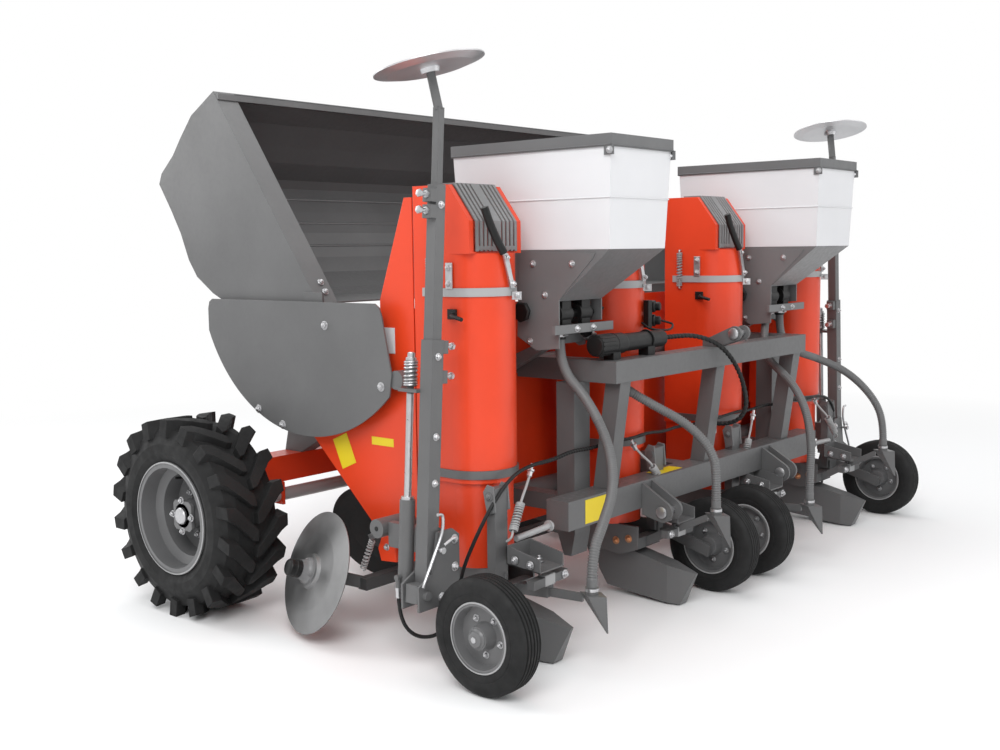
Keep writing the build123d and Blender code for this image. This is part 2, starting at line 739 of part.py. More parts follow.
def make_fertiliser_hose(i):
    """From a spout of the metering units down to a coulter."""
    top_x, mouth_x = outlets[i]
    mouth = Vector(mouth_x, meter_y, spout_z)
    out = (mouth - Vector(top_x, meter_y, spout_top)).normalized()
    end_z = coulter_tip_z[i] + coulter_h + socket_h + seat_gap
    x = rows[i]
    route = [tuple(mouth + out * seat_gap), tuple(mouth + out * hose_lead), *hose_points[i],
             (x, coulter_y - 1, end_z + hose_drop), (x, coulter_y, end_z)]
    return sweep_hose(route, hose_r)


def make_hydraulic_hose():
    """From the right cylinder's port under its bracket and along behind the posts to the block."""
    route = [(-port_x, cyl_y, port_z - seat_gap), *hydraulic_points, *right_end, (block_x[0] - seat_gap, *inlet)]
    return sweep_hose(route, hydraulic_r)


def make_left_hydraulic_hose():
    """The same run on the other side, to the block's other face."""
    mirrored = [(-x, y, z) for x, y, z in hydraulic_points]
    route = [(port_x, cyl_y, port_z - seat_gap), *mirrored, *left_end, (block_x[1] + seat_gap, *inlet)]
    return sweep_hose(route, hydraulic_r)


def make_canister():
    """A round canister with a wider cap, on two saddles on the upper beam."""
    x0, x1 = canister_x
    y, z = canister_y, canister_z
    pieces = [rod((x0, y, z), (x0 + 150, y, z), canister_r), rod((x0 + 149, y, z), (x1, y, z), canister_r - 5)]
    for x in (x0 + 95, x1 - 95):
        pieces.append(block(x - 22, x + 22, y - 24, min(y + 24, top_beam_front + top_beam_d), top_beam_top + seat_gap,
                            z - canister_r + 14))
    return fuse(pieces)


# Fertiliser hoppers

def rect_at(x0, x1, y0, y1, z):
    """A rectangle in a level plane, given by its limits."""
    return Pos((x0 + x1) / 2, (y0 + y1) / 2, z) * Rectangle(x1 - x0, y1 - y0)


def tank_body(x, wall, z0, z1):
    """The tapered block of a hopper, drawn in by wall."""
    half = tank_w / 2 - wall
    low = half - tank_taper
    return loft([rect_at(x - low, x + low, tank_front + wall + tank_taper, tank_back - wall - tank_taper, z0),
                 rect_at(x - half, x + half, tank_front + wall, tank_back - wall, z1)])


def cone_body(x, wall, z0, z1):
    """The tapered block below a hopper, drawn in by wall."""
    outer = cone_side
    half = tank_w / 2 - tank_taper - wall
    foot = sorted((x + outer * half, x + outer * (half - cone_foot_w + wall * 2)))
    return loft([rect_at(foot[0], foot[1], cone_foot_front + wall, cone_foot_back - wall, z0),
                 rect_at(x - half, x + half, tank_front + tank_taper + wall, tank_back - tank_taper - wall, z1)])


def make_tank(x):
    """An open-topped hopper; its outlet opens over the cone."""
    skin = tank_body(x, 0, tank_bottom, tank_top) - tank_body(x, tank_wall, tank_bottom, tank_top)
    pins = []
    for side in (-1, 1):
        face = x + side * (tank_w / 2 - 3)
        pins.append(rod((face, tank_front, tank_top - 19), (face + side * 12, tank_front, tank_top - 19), lid_pin_r))
    boss = [block(p - 4, p + 4, tank_front, tank_front + 12, tank_top - 30, tank_top - 10)
            for p in (x - tank_w / 2 + 5, x + tank_w / 2 - 5)]
    return fuse([skin] + boss + pins)


def make_lid(x):
    """A folded lid with a lip all round and two hinge ears at the front."""
    half = tank_w / 2 + lid_gap
    y0, y1 = tank_front - lid_gap, tank_back + lid_gap
    z0, z1 = tank_top - 7, tank_top - 7 + lid_lip
    outer = block(x - half - lid_t, x + half + lid_t, y0 - lid_t, y1 + lid_t, z0, z1)
    lid = outer - block(x - half, x + half, y0, y1, z0 - 1, z1 - lid_t)
    pin_z = tank_top - 19
    ears = []
    for side in (-1, 1):
        x0 = x + side * half
        ear = block(x0, x0 + side * lid_t, tank_front - lid_ear_r, tank_front + lid_ear_r + 8, pin_z - lid_ear_r, z0 + 4)
        ears.append(ear - rod((x0 - 10, tank_front, pin_z), (x0 + 10, tank_front, pin_z), lid_pin_r + run_gap))
    return fuse([lid] + ears)


def make_cone(x):
    """The steel outlet cone, its outer side plate and the arm to the upper toolbar."""
    top = tank_bottom - seat_gap
    skin = cone_body(x, 0, cone_foot_z, top) - cone_body(x, cone_sheet, cone_foot_z, top)
    outer = cone_side
    face = x + outer * (tank_w / 2 - tank_taper)
    outline = [(-470, top - 4), (-781, top - 12), (-770, top - 30), (-636, cone_foot_z + 4), (-636, 985), (-540, 975),
               (-460, 1020)]
    side = yz_plate(outline, face - outer * 1, face + outer * 4)
    inner_x = face - outer * cone_foot_w
    x_rail = [face + reach for reach in rail_reach]
    inner = yz_plate([(-500, cone_foot_z + 60), (-600, cone_foot_z + 60), (-636, cone_foot_z), (-636, 1068),
                      (-566, 1062), (-566, 980), (-540, 975), (-470, 1020)], inner_x, inner_x + outer * 5)
    rail = block(x_rail[0], x_rail[1], -648, -635, 1032, 1062)
    arm_x = face - outer * cone_arm_reach
    cross = block(face, inner_x, -560, -530, 990, 1020)
    arm = yz_plate([(-560, 1015), (-520, 1020), (toolbar_y - toolbar_r - seat_gap, 930),
                    (toolbar_y - toolbar_r - seat_gap, 880)], arm_x - 20, arm_x + 20)
    return fuse([skin, side, inner, rail, cross, arm])


def make_meters(i):
    """Two metering rollers below a cone, each with the outlet spout that its hose hangs on."""
    face = tank_x[i] + cone_side * (tank_w / 2 - tank_taper)
    start, end = face - cone_side * (1 + seat_gap), face - cone_side * (cone_foot_w - 5 - seat_gap)
    pieces = [rod((start, meter_y, 1095), (end, meter_y, 1095), 16)]
    for top_x, mouth_x in outlets[2 * i:2 * i + 2]:
        pieces.append(rod((top_x - 32, meter_y, 1095), (top_x + 32, meter_y, 1095), meter_r))
        pieces.append(block(top_x - 24, top_x + 24, meter_y - 30, meter_y + 25, spout_top - 2,
                            cone_foot_z - seat_gap))
        pieces.append(rod((top_x, meter_y, spout_top), (mouth_x, meter_y, spout_z), hose_r + 4))
    return fuse(pieces)


# Markers

def folded(shape):
    """The shape leaned inwards about the right marker's pivot, as the mast rests."""
    pivot = Pos(-pivot_x, 0, pivot_z)
    return pivot * Rot(0, mast_lean, 0) * pivot.inverse() * shape


def neck_point(reach):
    """A point along the right mast's neck, which leans outwards and back."""
    length = hypot(lean_out, lean_back, 1)
    return Vector(-mast_x, mast_y, mast_bend_z) + Vector(-lean_out, lean_back, 1) * (reach / length)


def make_mast():
    """The right marker's folded mast: three telescoping sections, a leaning neck and a rod eye."""
    x, y = -mast_x, mast_y
    low, mid, top = mast_low_w / 2, mast_mid_w / 2, mast_top_w / 2
    pieces = [block(x - low, x + low, y - low, y + low, mast_bottom, mast_mid_z),
              block(x - mid, x + mid, y - mid, y + mid, mast_mid_z - 1, mast_top_z),
              block(x - top, x + top, y - top, y + top, mast_top_z - 1, mast_bend_z + 6),
              bar(tuple(neck_point(0)), tuple(neck_point(mast_neck)), mast_top_w, mast_top_w),
              block(-pivot_x - 24, x, y - low, y + low, mast_bottom, pivot_z + 30)]
    eye = block(-cyl_x - spring_r - 10, -cyl_x + spring_r + 6, y + low - 1, cyl_y + spring_r + 8, eye_z, eye_z + 10)
    gap = rod_r + safe_gap
    slot = block(-cyl_x - gap, -cyl_x + 60, cyl_y - gap, cyl_y + gap, eye_z - 2, eye_z + 12)
    mast = fuse(pieces + [eye]) - slot
    return folded(mast - rod((-pivot_x, y - 60, pivot_z), (-pivot_x, y + 60, pivot_z), pivot_r + run_gap))


def marker_place():
    """Place of the right marker's disc, square to the neck."""
    return Plane(origin=neck_point(mast_neck + seat_gap), z_dir=Vector(-lean_out, lean_back, 1)).location


def make_marker_disc():
    """The right marker's dished disc and its hub, turning about the neck's line."""
    outline = [(0, 0), (26, 0), (30, 14), (60, 14), (marker_r - 40, 10), (marker_r, 20), (marker_r, 24),
               (marker_r - 40, 14), (60, 18), (0, 18)]
    face = make_face(Polyline(*[(r, 0, h) for r, h in outline], close=True))
    return folded(marker_place() * revolve(face, Axis.Z, 360))


def make_marker_bracket():
    """Two pivot plates joined to the toolbar's end by an arm, with the pivot pin and the cylinder's shelf."""
    x, y, z = -pivot_x, mast_y, pivot_z
    half = mast_low_w / 2 + safe_gap
    outline = [(x - 30, z - 46), (x + 60, z - 46), (x + 150, z + 20), (x + 150, z + 160), (x + 120, z + 182),
               (x + 54, z + 182), (x + 30, z + 60), (x - 30, z + 30)]
    arm_reach = toolbar_y - toolbar_r - seat_gap
    pieces = [xz_plate(outline, y - half - plate, y - half), xz_plate(outline, y + half, y + half + plate),
              block(x + 122, x + 150, y - half - plate, arm_reach, z + 80, z + 160),
              rod((x, y - half - plate - 12, z), (x, y + half + plate + 6, z), pivot_r),
              block(-cyl_x - 18, -cyl_x + 18, y + half + plate - 1, cyl_y + 14, shelf_z - 17, shelf_z)]
    return fuse(pieces)


def make_cylinder():
    """The right marker's cylinder: barrel with its port, rod and cushion spring, upright behind the mast."""
    x, y = -cyl_x, cyl_y
    spring_z = eye_z + 10 + safe_gap
    body = fuse([rod((x, y, cyl_bottom), (x, y, cyl_top), cyl_r), rod((x, y, cyl_top - 1), (x, y, rod_top), rod_r),
                 rod((x, y, spring_z), (x, y, rod_top - 10), spring_r)])
    port = [rod((x, y, port_z + 40), (-port_x - 9, y, port_z + 40), 9), rod((-port_x, y, port_z + 40), (-port_x, y, port_z), 9)]
    return fuse([folded(body)] + port)


def main():
    os.makedirs("parts", exist_ok=True)
    write("lower_toolbar", make_toolbar(toolbar_low_half, toolbar_low_z))
    write("upper_toolbar", make_toolbar(toolbar_high_half, toolbar_high_z))
    write("lower_front_beam", make_lower_beam())
    write("upper_front_beam", make_upper_beam())
    leg = make_leg()
    write("frame_posts", *make_posts(), leg, mirror_x(leg))
    write("hitch_lugs", *make_hitch())
    write("planting_tubes", *[make_tube(x) for x in rows])
    write("tube_bands", *make_bands())
    write("head_gratings", *[make_grating(x) for x in rows])
    write("row_frames", *[make_row_frame(x) for x in rows])
    write("openers", *[make_share(x) for x in rows])
    write("gauge_arms", *[make_gauge_arm(i) for i in range(row_count)])
    write("seed_trough", make_trough())
    plate_r = make_side_plate()
    write("side_plates", plate_r, mirror_x(plate_r))
    write("tipping_hopper", make_hopper())
    write("rear_axle", make_axle())
    write("cross_shaft", make_shaft())
    arm = make_chassis_arm()
    write("chassis_arms", arm, mirror_x(arm))
    for name, side in (("right", -1), ("left", 1)):
        write(f"rear_tyre_{name}", make_rear_tyre(side))
        write(f"rear_rim_{name}", make_rear_rim(side))
    for i, x in enumerate(gauge_x):
        write(f"gauge_tyre_{i + 1}", make_gauge_tyre(x))
        write(f"gauge_rim_{i + 1}", make_gauge_rim(x))
    write("disc_carriers", *[make_disc_carrier(x) for x in rows])
    write("fertiliser_coulters", *[make_coulter(i) for i in range(row_count)])
    for i, x in enumerate(rows):
        for name, side in (("a", -1), ("b", 1)):
            write(f"covering_disc_{i + 1}{name}", make_disc(x, side))
    write("fertiliser_tanks", *[make_tank(x) for x in tank_x])
    for i, x in enumerate(tank_x):
        write(f"fertiliser_lid_{i + 1}", make_lid(x))
    write("fertiliser_cones", *[make_cone(x) for x in tank_x])
    write("metering_units", *[make_meters(i) for i in range(len(tank_x))])
    for i in range(row_count):
        write(f"fertiliser_hose_{i + 1}", make_fertiliser_hose(i))
    write("document_canister", make_canister())
    write("hose_block", block(*block_x, *block_y, *block_z))
    write("hydraulic_hose_right", make_hydraulic_hose())
    write("hydraulic_hose_left", make_left_hydraulic_hose())
    write("hydraulic_bundle", sweep_hose(bundle_points, bundle_r))
    bracket, cylinder = make_marker_bracket(), make_cylinder()
    write("marker_brackets", bracket, mirror_x(bracket))
    write("marker_cylinders", cylinder, mirror_x(cylinder))
    for name, turn in (("right", lambda shape: shape), ("left", mirror_x)):
        write(f"marker_mast_{name}", turn(make_mast()))
        write(f"marker_disc_{name}", turn(make_marker_disc()))


main()
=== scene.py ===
# Looks of the potato planter: materials, hoses, bolts, springs, studio and camera.
# Sizes are in the drawing's millimetres until place() turns them into the frame's metres.
import math

import bmesh
import bpy
from mathutils import Matrix, Vector


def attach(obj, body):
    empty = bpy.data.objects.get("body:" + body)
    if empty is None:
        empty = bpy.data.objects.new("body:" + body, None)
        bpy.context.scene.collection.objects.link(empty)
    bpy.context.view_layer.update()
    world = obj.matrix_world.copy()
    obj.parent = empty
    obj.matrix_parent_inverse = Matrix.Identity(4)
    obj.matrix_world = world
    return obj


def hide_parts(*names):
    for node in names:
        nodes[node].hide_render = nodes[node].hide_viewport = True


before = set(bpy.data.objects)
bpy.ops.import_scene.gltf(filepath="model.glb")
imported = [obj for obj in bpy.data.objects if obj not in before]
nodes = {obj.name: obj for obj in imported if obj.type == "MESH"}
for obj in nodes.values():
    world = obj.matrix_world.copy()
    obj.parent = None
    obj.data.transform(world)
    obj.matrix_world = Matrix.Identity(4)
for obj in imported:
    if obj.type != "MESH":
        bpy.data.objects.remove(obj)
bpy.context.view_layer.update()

# The frame's datum in the drawing
MIDDLE_Y = 29.0
GROUND_Z = 20.0
ROWS = (-1125.0, -375.0, 375.0, 1125.0)
SIDES = {"right": -1, "left": 1}


def place(x, y, z):
    """A point of the drawing, in the frame."""
    return Vector((x, y - MIDDLE_Y, z - GROUND_Z)) / 1000


# Camera

CAMERA_AT = Vector((-3.888, -2.9335, 1.293))
CAMERA_YAW = 49.74
CAMERA_PITCH = 6.28
CAMERA_ROLL = 0.72
FOCAL_PIXELS = 1146.0
FRAME_PIXELS = 1000.0
SENSOR_WIDTH = 36.0
CLIP_END = 100.0


def make_camera():
    data = bpy.data.cameras.new("camera")
    data.sensor_width = SENSOR_WIDTH
    data.lens = FOCAL_PIXELS / FRAME_PIXELS * data.sensor_width
    data.clip_end = CLIP_END
    camera = bpy.data.objects.new("camera", data)
    bpy.context.scene.collection.objects.link(camera)
    camera.rotation_mode = "QUATERNION"
    turn = Matrix.Rotation(math.radians(-CAMERA_YAW), 4, "Z")
    tilt = Matrix.Rotation(math.radians(90 - CAMERA_PITCH), 4, "X")
    roll = Matrix.Rotation(math.radians(-CAMERA_ROLL), 4, "Z")
    camera.rotation_quaternion = (turn @ tilt @ roll).to_quaternion()
    camera.location = CAMERA_AT
    bpy.context.scene.camera = camera


make_camera()


# Materials

def shader(name):
    """A new material with its node tree and its Principled shader."""
    material = bpy.data.materials.new(name)
    material.use_nodes = True
    tree = material.node_tree
    bsdf = tree.nodes["Principled BSDF"]
    return material, tree, bsdf


def add(tree, kind, **values):
    """Add a node and set the properties that are named."""
    node = tree.nodes.new(kind)
    for key, value in values.items():
        setattr(node, key, value)
    return node


def coordinates(tree):
    return add(tree, "ShaderNodeTexCoord").outputs["Object"]


def noise(tree, scale, detail=3.0, roughness=0.55):
    node = add(tree, "ShaderNodeTexNoise")
    node.inputs["Scale"].default_value = scale
    node.inputs["Detail"].default_value = detail
    node.inputs["Roughness"].default_value = roughness
    tree.links.new(coordinates(tree), node.inputs["Vector"])
    return node.outputs["Fac"]


def spread(tree, value, low, high, start=0.3, stop=0.7):
    """Map a noise value onto a range."""
    node = add(tree, "ShaderNodeMapRange")
    node.inputs["From Min"].default_value = start
    node.inputs["From Max"].default_value = stop
    node.inputs["To Min"].default_value = low
    node.inputs["To Max"].default_value = high
    tree.links.new(value, node.inputs["Value"])
    return node.outputs["Result"]


def blend_colour(tree, fac, first, second):
    node = add(tree, "ShaderNodeMix", data_type="RGBA")
    node.inputs["A"].default_value = (*first, 1.0)
    node.inputs["B"].default_value = (*second, 1.0)
    tree.links.new(fac, node.inputs["Factor"])
    return node.outputs["Result"]


def tint(colour, gain):
    return tuple(min(1.0, c * gain) for c in colour)


def bump_and_bevel(tree, bsdf, height, strength, distance, bevel):
    """Fine surface relief over rounded sheet edges."""
    bump = add(tree, "ShaderNodeBump")
    bump.inputs["Strength"].default_value = strength
    bump.inputs["Distance"].default_value = distance
    tree.links.new(height, bump.inputs["Height"])
    edge = add(tree, "ShaderNodeBevel", samples=4)
    edge.inputs["Radius"].default_value = bevel
    tree.links.new(edge.outputs["Normal"], bump.inputs["Normal"])
    tree.links.new(bump.outputs["Normal"], bsdf.inputs["Normal"])


PAINT_CLOUDS, PAINT_DUST, PAINT_PEEL = 3.5, 60.0, 420.0  # noise scales
PAINT_RELIEF = (0.08, 0.0006)                            # bump strength and distance
PAINT_EDGE, METAL_EDGE, PLASTIC_EDGE, RUBBER_EDGE = 0.0025, 0.0015, 0.003, 0.004
BAND_SPLIT = 0.85                                        # height in metres


def cloud_colour(tree, bsdf, cloud, colour, darker, lighter):
    """Blend the base colour between two tints of it."""
    mixed = blend_colour(tree, spread(tree, cloud, 0, 1), tint(colour, darker), tint(colour, lighter))
    tree.links.new(mixed, bsdf.inputs["Base Color"])


def cloud_roughness(tree, bsdf, value, low, high):
    tree.links.new(spread(tree, value, low, high), bsdf.inputs["Roughness"])


def make_paint(name, colour, rough=0.38, coat=0.12, vary=0.10, shine=0.4):
    """Sprayed paint: slight clouding, orange-peel relief, dust that dulls the gloss."""
    material, tree, bsdf = shader(name)
    cloud_colour(tree, bsdf, noise(tree, PAINT_CLOUDS, 4.0), colour, 1 - vary, 1 + vary)
    cloud_roughness(tree, bsdf, noise(tree, PAINT_DUST, 2.0), rough - 0.06, rough + 0.08)
    bsdf.inputs["Coat Weight"].default_value = coat
    bsdf.inputs["Specular IOR Level"].default_value = shine
    bsdf.inputs["Coat Roughness"].default_value = 0.25
    bump_and_bevel(tree, bsdf, noise(tree, PAINT_PEEL, 2.0), *PAINT_RELIEF, PAINT_EDGE)
    return material


def make_band_sheet(name, low, high, rough):
    """Band sheet: frame paint on the lower bands, bare galvanised on the upper ones."""
    material, tree, bsdf = shader(name)
    height = add(tree, "ShaderNodeSeparateXYZ")
    tree.links.new(coordinates(tree), height.inputs["Vector"])
    above = add(tree, "ShaderNodeMath", operation="GREATER_THAN")
    above.inputs[1].default_value = BAND_SPLIT
    tree.links.new(height.outputs["Z"], above.inputs[0])
    tree.links.new(blend_colour(tree, above.outputs["Value"], low, high), bsdf.inputs["Base Color"])
    cloud_roughness(tree, bsdf, noise(tree, PAINT_DUST, 2.0), rough - 0.06, rough + 0.08)
    bump_and_bevel(tree, bsdf, noise(tree, PAINT_PEEL, 2.0), *PAINT_RELIEF, METAL_EDGE)
    return material


def make_metal(name, colour, rough, scale=90.0, vary=0.12):
    """Bare or plated metal with a grain."""
    material, tree, bsdf = shader(name)
    grain = noise(tree, scale, 4.0, 0.5)
    cloud_colour(tree, bsdf, grain, colour, 1 - vary, 1 + vary)
    bsdf.inputs["Metallic"].default_value = 0.9
    cloud_roughness(tree, bsdf, grain, rough - 0.05, rough + 0.06)
    bump_and_bevel(tree, bsdf, grain, 0.05, 0.0002, METAL_EDGE)
    return material


def make_plastic(name, colour, rough, vary=0.06, shine=0.5):
    """Moulded plastic with a fine grain."""
    material, tree, bsdf = shader(name)
    cloud_colour(tree, bsdf, noise(tree, 5.0), colour, 1 - vary, 1 + vary)
    cloud_roughness(tree, bsdf, noise(tree, 40.0), rough - 0.05, rough + 0.08)
    bsdf.inputs["Specular IOR Level"].default_value = shine
    bump_and_bevel(tree, bsdf, noise(tree, 260.0, 2.0), 0.12, 0.0005, PLASTIC_EDGE)
    return material


def make_rubber(name, colour, rough=0.7):
    """Tyre rubber: matt, with dusty clouding and a fine grain."""
    material, tree, bsdf = shader(name)
    cloud_colour(tree, bsdf, noise(tree, 9.0, 5.0), colour, 0.8, 1.35)
    cloud_roughness(tree, bsdf, noise(tree, 30.0), rough - 0.12, rough + 0.12)
    bsdf.inputs["Specular IOR Level"].default_value = 0.25
    bump_and_bevel(tree, bsdf, noise(tree, 300.0, 4.0), 0.25, 0.0008, RUBBER_EDGE)
    return material


ORANGE = make_paint("orange paint", (0.72, 0.052, 0.012), rough=0.36, vary=0.07)
GREY = make_paint("grey paint", (0.112, 0.112, 0.113), rough=0.42)
GREY_DARK = make_paint("dark grey paint", (0.050, 0.050, 0.051), rough=0.45)
GREY_RIM = make_paint("rim grey paint", (0.135, 0.135, 0.137), rough=0.34)
GREY_SHEET = make_paint("galvanised grey sheet", (0.150, 0.150, 0.152), rough=0.38)
GRATE = make_paint("grating paint", (0.20, 0.20, 0.202), rough=0.36)
BLACK = make_plastic("black plastic", (0.007, 0.007, 0.007), rough=0.42, shine=0.3)
BLACK_PAINT = make_paint("black paint", (0.012, 0.012, 0.012), rough=0.45, shine=0.25)
WHITE = make_plastic("white plastic", (0.72, 0.72, 0.735), rough=0.42, vary=0.02)
LID = make_plastic("grey lid plastic", (0.125, 0.126, 0.128), rough=0.45)
RUBBER = make_rubber("tyre rubber", (0.0125, 0.0125, 0.0127))
RUBBER_SOFT = make_rubber("hose rubber", (0.013, 0.013, 0.013), rough=0.5)
HOSE = make_plastic("grey hose plastic", (0.125, 0.125, 0.126), rough=0.48)
BRIGHT = make_paint("galvanised bar", (0.36, 0.36, 0.362), rough=0.34)
BANDS = make_band_sheet("band sheet", (0.115, 0.115, 0.116), (0.36, 0.36, 0.362), rough=0.34)
ZINC = make_metal("zinc plating", (0.50, 0.50, 0.51), rough=0.32, vary=0.05)
STEEL = make_metal("ground steel", (0.27, 0.27, 0.272), rough=0.42, scale=14.0, vary=0.10)
DISC = make_metal("marker disc plating", (0.60, 0.60, 0.61), rough=0.40, scale=10.0, vary=0.06)
COPPER = make_metal("yellow zinc plating", (0.60, 0.30, 0.16), rough=0.34)
YELLOW = make_plastic("blank yellow label", (0.74, 0.56, 0.015), rough=0.4)

NODE_MATERIALS = {
    ORANGE: ("planting_tubes", "seed_trough", "rear_axle"),
    GREY: ("lower_toolbar", "upper_toolbar", "lower_front_beam", "upper_front_beam", "hitch_lugs", "row_frames",
           "gauge_arms", "side_plates", "chassis_arms", "marker_brackets", "marker_mast_", "tipping_hopper",
           "openers", "fertiliser_coulters", "frame_posts", "marker_cylinders"),
    GRATE: ("head_gratings",),
    GREY_DARK: ("disc_carriers",),
    GREY_RIM: ("rear_rim_", "gauge_rim_"),
    GREY_SHEET: ("fertiliser_cones",),
    BLACK: ("metering_units", "document_canister"),
    BANDS: ("tube_bands",),
    BRIGHT: ("cross_shaft",),
    ZINC: ("hose_block",),
    WHITE: ("fertiliser_tanks",),
    LID: ("fertiliser_lid_",),
    RUBBER: ("rear_tyre_", "gauge_tyre_"),
    BLACK_PAINT: ("covering_disc_1b", "covering_disc_2b", "covering_disc_3a", "covering_disc_4a"),
    STEEL: ("covering_disc_",),
    DISC: ("marker_disc_",),
}


def dress_nodes():
    """Give each CAD node the material of its kind."""
    for name, node in nodes.items():
        for material, starts in NODE_MATERIALS.items():
            if name.startswith(starts):
                node.data.materials.clear()
                node.data.materials.append(material)
                break


dress_nodes()


# Cords: the routes of part.py, in the drawing's millimetres

HOSE_R = 17.0
HOSE_PITCH = 8.4
HOSE_SIDES = 18
HOSE_CUFFS = (34.0, 26.0)      # plain lengths at the top and the foot
HOSE_SHALLOW = (0.34, 0.6)     # the upper share of the length, and its groove
HOSE_GROOVE = 2.6
SEAT_GAP = 0.3
SPOUT_LEAD, SOCKET_LEAD = 95.0, 105.0  # straight runs at the hose's ends
# x at the spout's top and mouth
SPOUT_MOUTHS = ((-844.0, -844.0), (-735.0, -672.0), (642.0, 628.0), (751.0, 751.0))
SPOUT_Y, SPOUT_TOP, SPOUT_Z = -590.0, 1060.0, 1011.0
COULTER_Y = -920.0
SOCKET_TOPS = (288.3, 396.3, 294.3, 410.3)
HOSE_POINTS = (
    ((-812, -680, 812), (-838, -786, 676), (-926, -866, 552), (-1048, -908, 468)),
    ((-575, -612, 850), (-490, -705, 770), (-400, -825, 688), (-368, -905, 590)),
    ((588, -618, 826), (545, -748, 752), (480, -852, 645), (405, -912, 510)),
    ((790, -640, 850), (905, -715, 808), (1025, -800, 740), (1108, -880, 625)),
)
HYDRAULIC_R = 7.0
HYDRAULIC_PITCH, HYDRAULIC_GUARD = 15.0, (980.0, 1500.0)
HYDRAULIC_POINTS = ((-1504, -470, 284.7), (-1504, -469, 200), (-1452, -484, 124), (-1362, -508, 112),
                    (-1306, -526, 185), (-1298, -540, 300), (-1292, -596, 420), (-1250, -634, 530), (-1160, -640, 605),
                    (-1050, -632, 622), (-930, -620, 616), (-810, -613, 630), (-690, -612, 622), (-570, -613, 632),
                    (-450, -610, 622), (-340, -614, 632))
RIGHT_END = ((-230, -610, 620), (-130, -613, 628), (-50, -613.5, 622), (31, -613.5, 622))
LEFT_END = ((240, -611, 626), (165, -613.5, 622), (100.3, -613.5, 622))
BUNDLE_R = 9.0
BUNDLE_PITCH, BUNDLE_GUARD = 19.0, (10.0, 9999.0)
BUNDLE_POINTS = ((-350, -672, 985), (-260, -672, 985), (-165, -705, 985), (-70, -752, 950), (10, -780, 872),
                 (62, -792, 775), (75, -798, 683), (75, -737, 618), (75, -650.3, 618))


def spout(i):
    """The middle of a spout's mouth on the metering units, and the way out of it."""
    top_x, mouth_x = SPOUT_MOUTHS[i]
    mouth = Vector((mouth_x, SPOUT_Y, SPOUT_Z))
    return mouth, (mouth - Vector((top_x, SPOUT_Y, SPOUT_TOP))).normalized()


def hose_route(i):
    """Out of a spout of the metering units and down into a coulter's socket."""
    mouth, out = spout(i)
    foot = SOCKET_TOPS[i]
    return [tuple(mouth + out * SEAT_GAP), tuple(mouth + out * SPOUT_LEAD), *HOSE_POINTS[i],
            (ROWS[i], COULTER_Y - 1, foot + SOCKET_LEAD), (ROWS[i], COULTER_Y, foot)]


def spline_line(points):
    """Points along the smooth line that the route's control points give, in metres."""
    data = bpy.data.curves.new("route", "CURVE")
    data.dimensions = "3D"
    data.resolution_u = 24
    spline = data.splines.new("NURBS")
    spline.points.add(len(points) - 1)
    for knot, point in zip(spline.points, points):
        knot.co = (*place(*point), 1.0)
    spline.order_u = 3
    spline.use_endpoint_u = True
    carrier = bpy.data.objects.new("route", data)
    bpy.context.scene.collection.objects.link(carrier)
    mesh = bpy.data.meshes.new_from_object(carrier)
    line = [vertex.co.copy() for vertex in mesh.vertices]
    bpy.data.objects.remove(carrier)
    bpy.data.curves.remove(data)
    bpy.data.meshes.remove(mesh)
    return line


def even_steps(line, step):
    """The same line in equal steps, with its total length."""
    lengths = [(b - a).length for a, b in zip(line, line[1:])]
    total = sum(lengths)
    count = max(2, round(total / step))
    points, k, walked = [], 0, 0.0
    for i in range(count + 1):
        target = total * i / count
        while k < len(lengths) - 1 and walked + lengths[k] < target:
            walked += lengths[k]
            k += 1
        share = (target - walked) / lengths[k] if lengths[k] else 0.0
        points.append(line[k].lerp(line[k + 1], min(1.0, share)))
    return points, total


def ring_frames(line):
    """A pair of cross directions at each point, carried along without twist."""
    frames, across = [], None
    for i, point in enumerate(line):
        ahead = (line[min(i + 1, len(line) - 1)] - line[max(i - 1, 0)]).normalized()
        if across is None:
            across = ahead.orthogonal().normalized()
        across = (across - ahead * across.dot(ahead)).normalized()
        frames.append((across, ahead.cross(across)))
    return frames


def skin(line, radius_at, sides):
    """Rings of points round a line; radius_at takes the distance walked and the angle."""
    rings, walked = [], 0.0
    for i, (point, (u, v)) in enumerate(zip(line, ring_frames(line))):
        walked += (point - line[i - 1]).length if i else 0.0
        ring = []
        for k in range(sides):
            angle = math.tau * k / sides
            ring.append(point + (u * math.cos(angle) + v * math.sin(angle)) * radius_at(walked, angle))
        rings.append(ring)
    return rings


def ring_faces(count, sides, start=0):
    """Quads between rings, and a cap at each end."""
    faces = [tuple(range(start + sides - 1, start - 1, -1)),
             tuple(range(start + (count - 1) * sides, start + count * sides))]
    for r in range(count - 1):
        for k in range(sides):
            a, b = start + r * sides + k, start + r * sides + (k + 1) % sides
            faces.append((a, b, b + sides, a + sides))
    return faces


def add_object(name, verts, faces, material, sharp=35.0):
    """A mesh object with outward faces, smooth but for its sharp edges."""
    mesh = bpy.data.meshes.new(name)
    mesh.from_pydata([tuple(v) for v in verts], [], faces)
    shell = bmesh.new()
    shell.from_mesh(mesh)
    bmesh.ops.recalc_face_normals(shell, faces=shell.faces)
    shell.to_mesh(mesh)
    shell.free()
    mesh.polygons.foreach_set("use_smooth", [True] * len(mesh.polygons))
    mesh.set_sharp_from_angle(angle=math.radians(sharp))
    mesh.materials.append(material)
    piece = bpy.data.objects.new(name, mesh)
    bpy.context.scene.collection.objects.link(piece)
    return piece


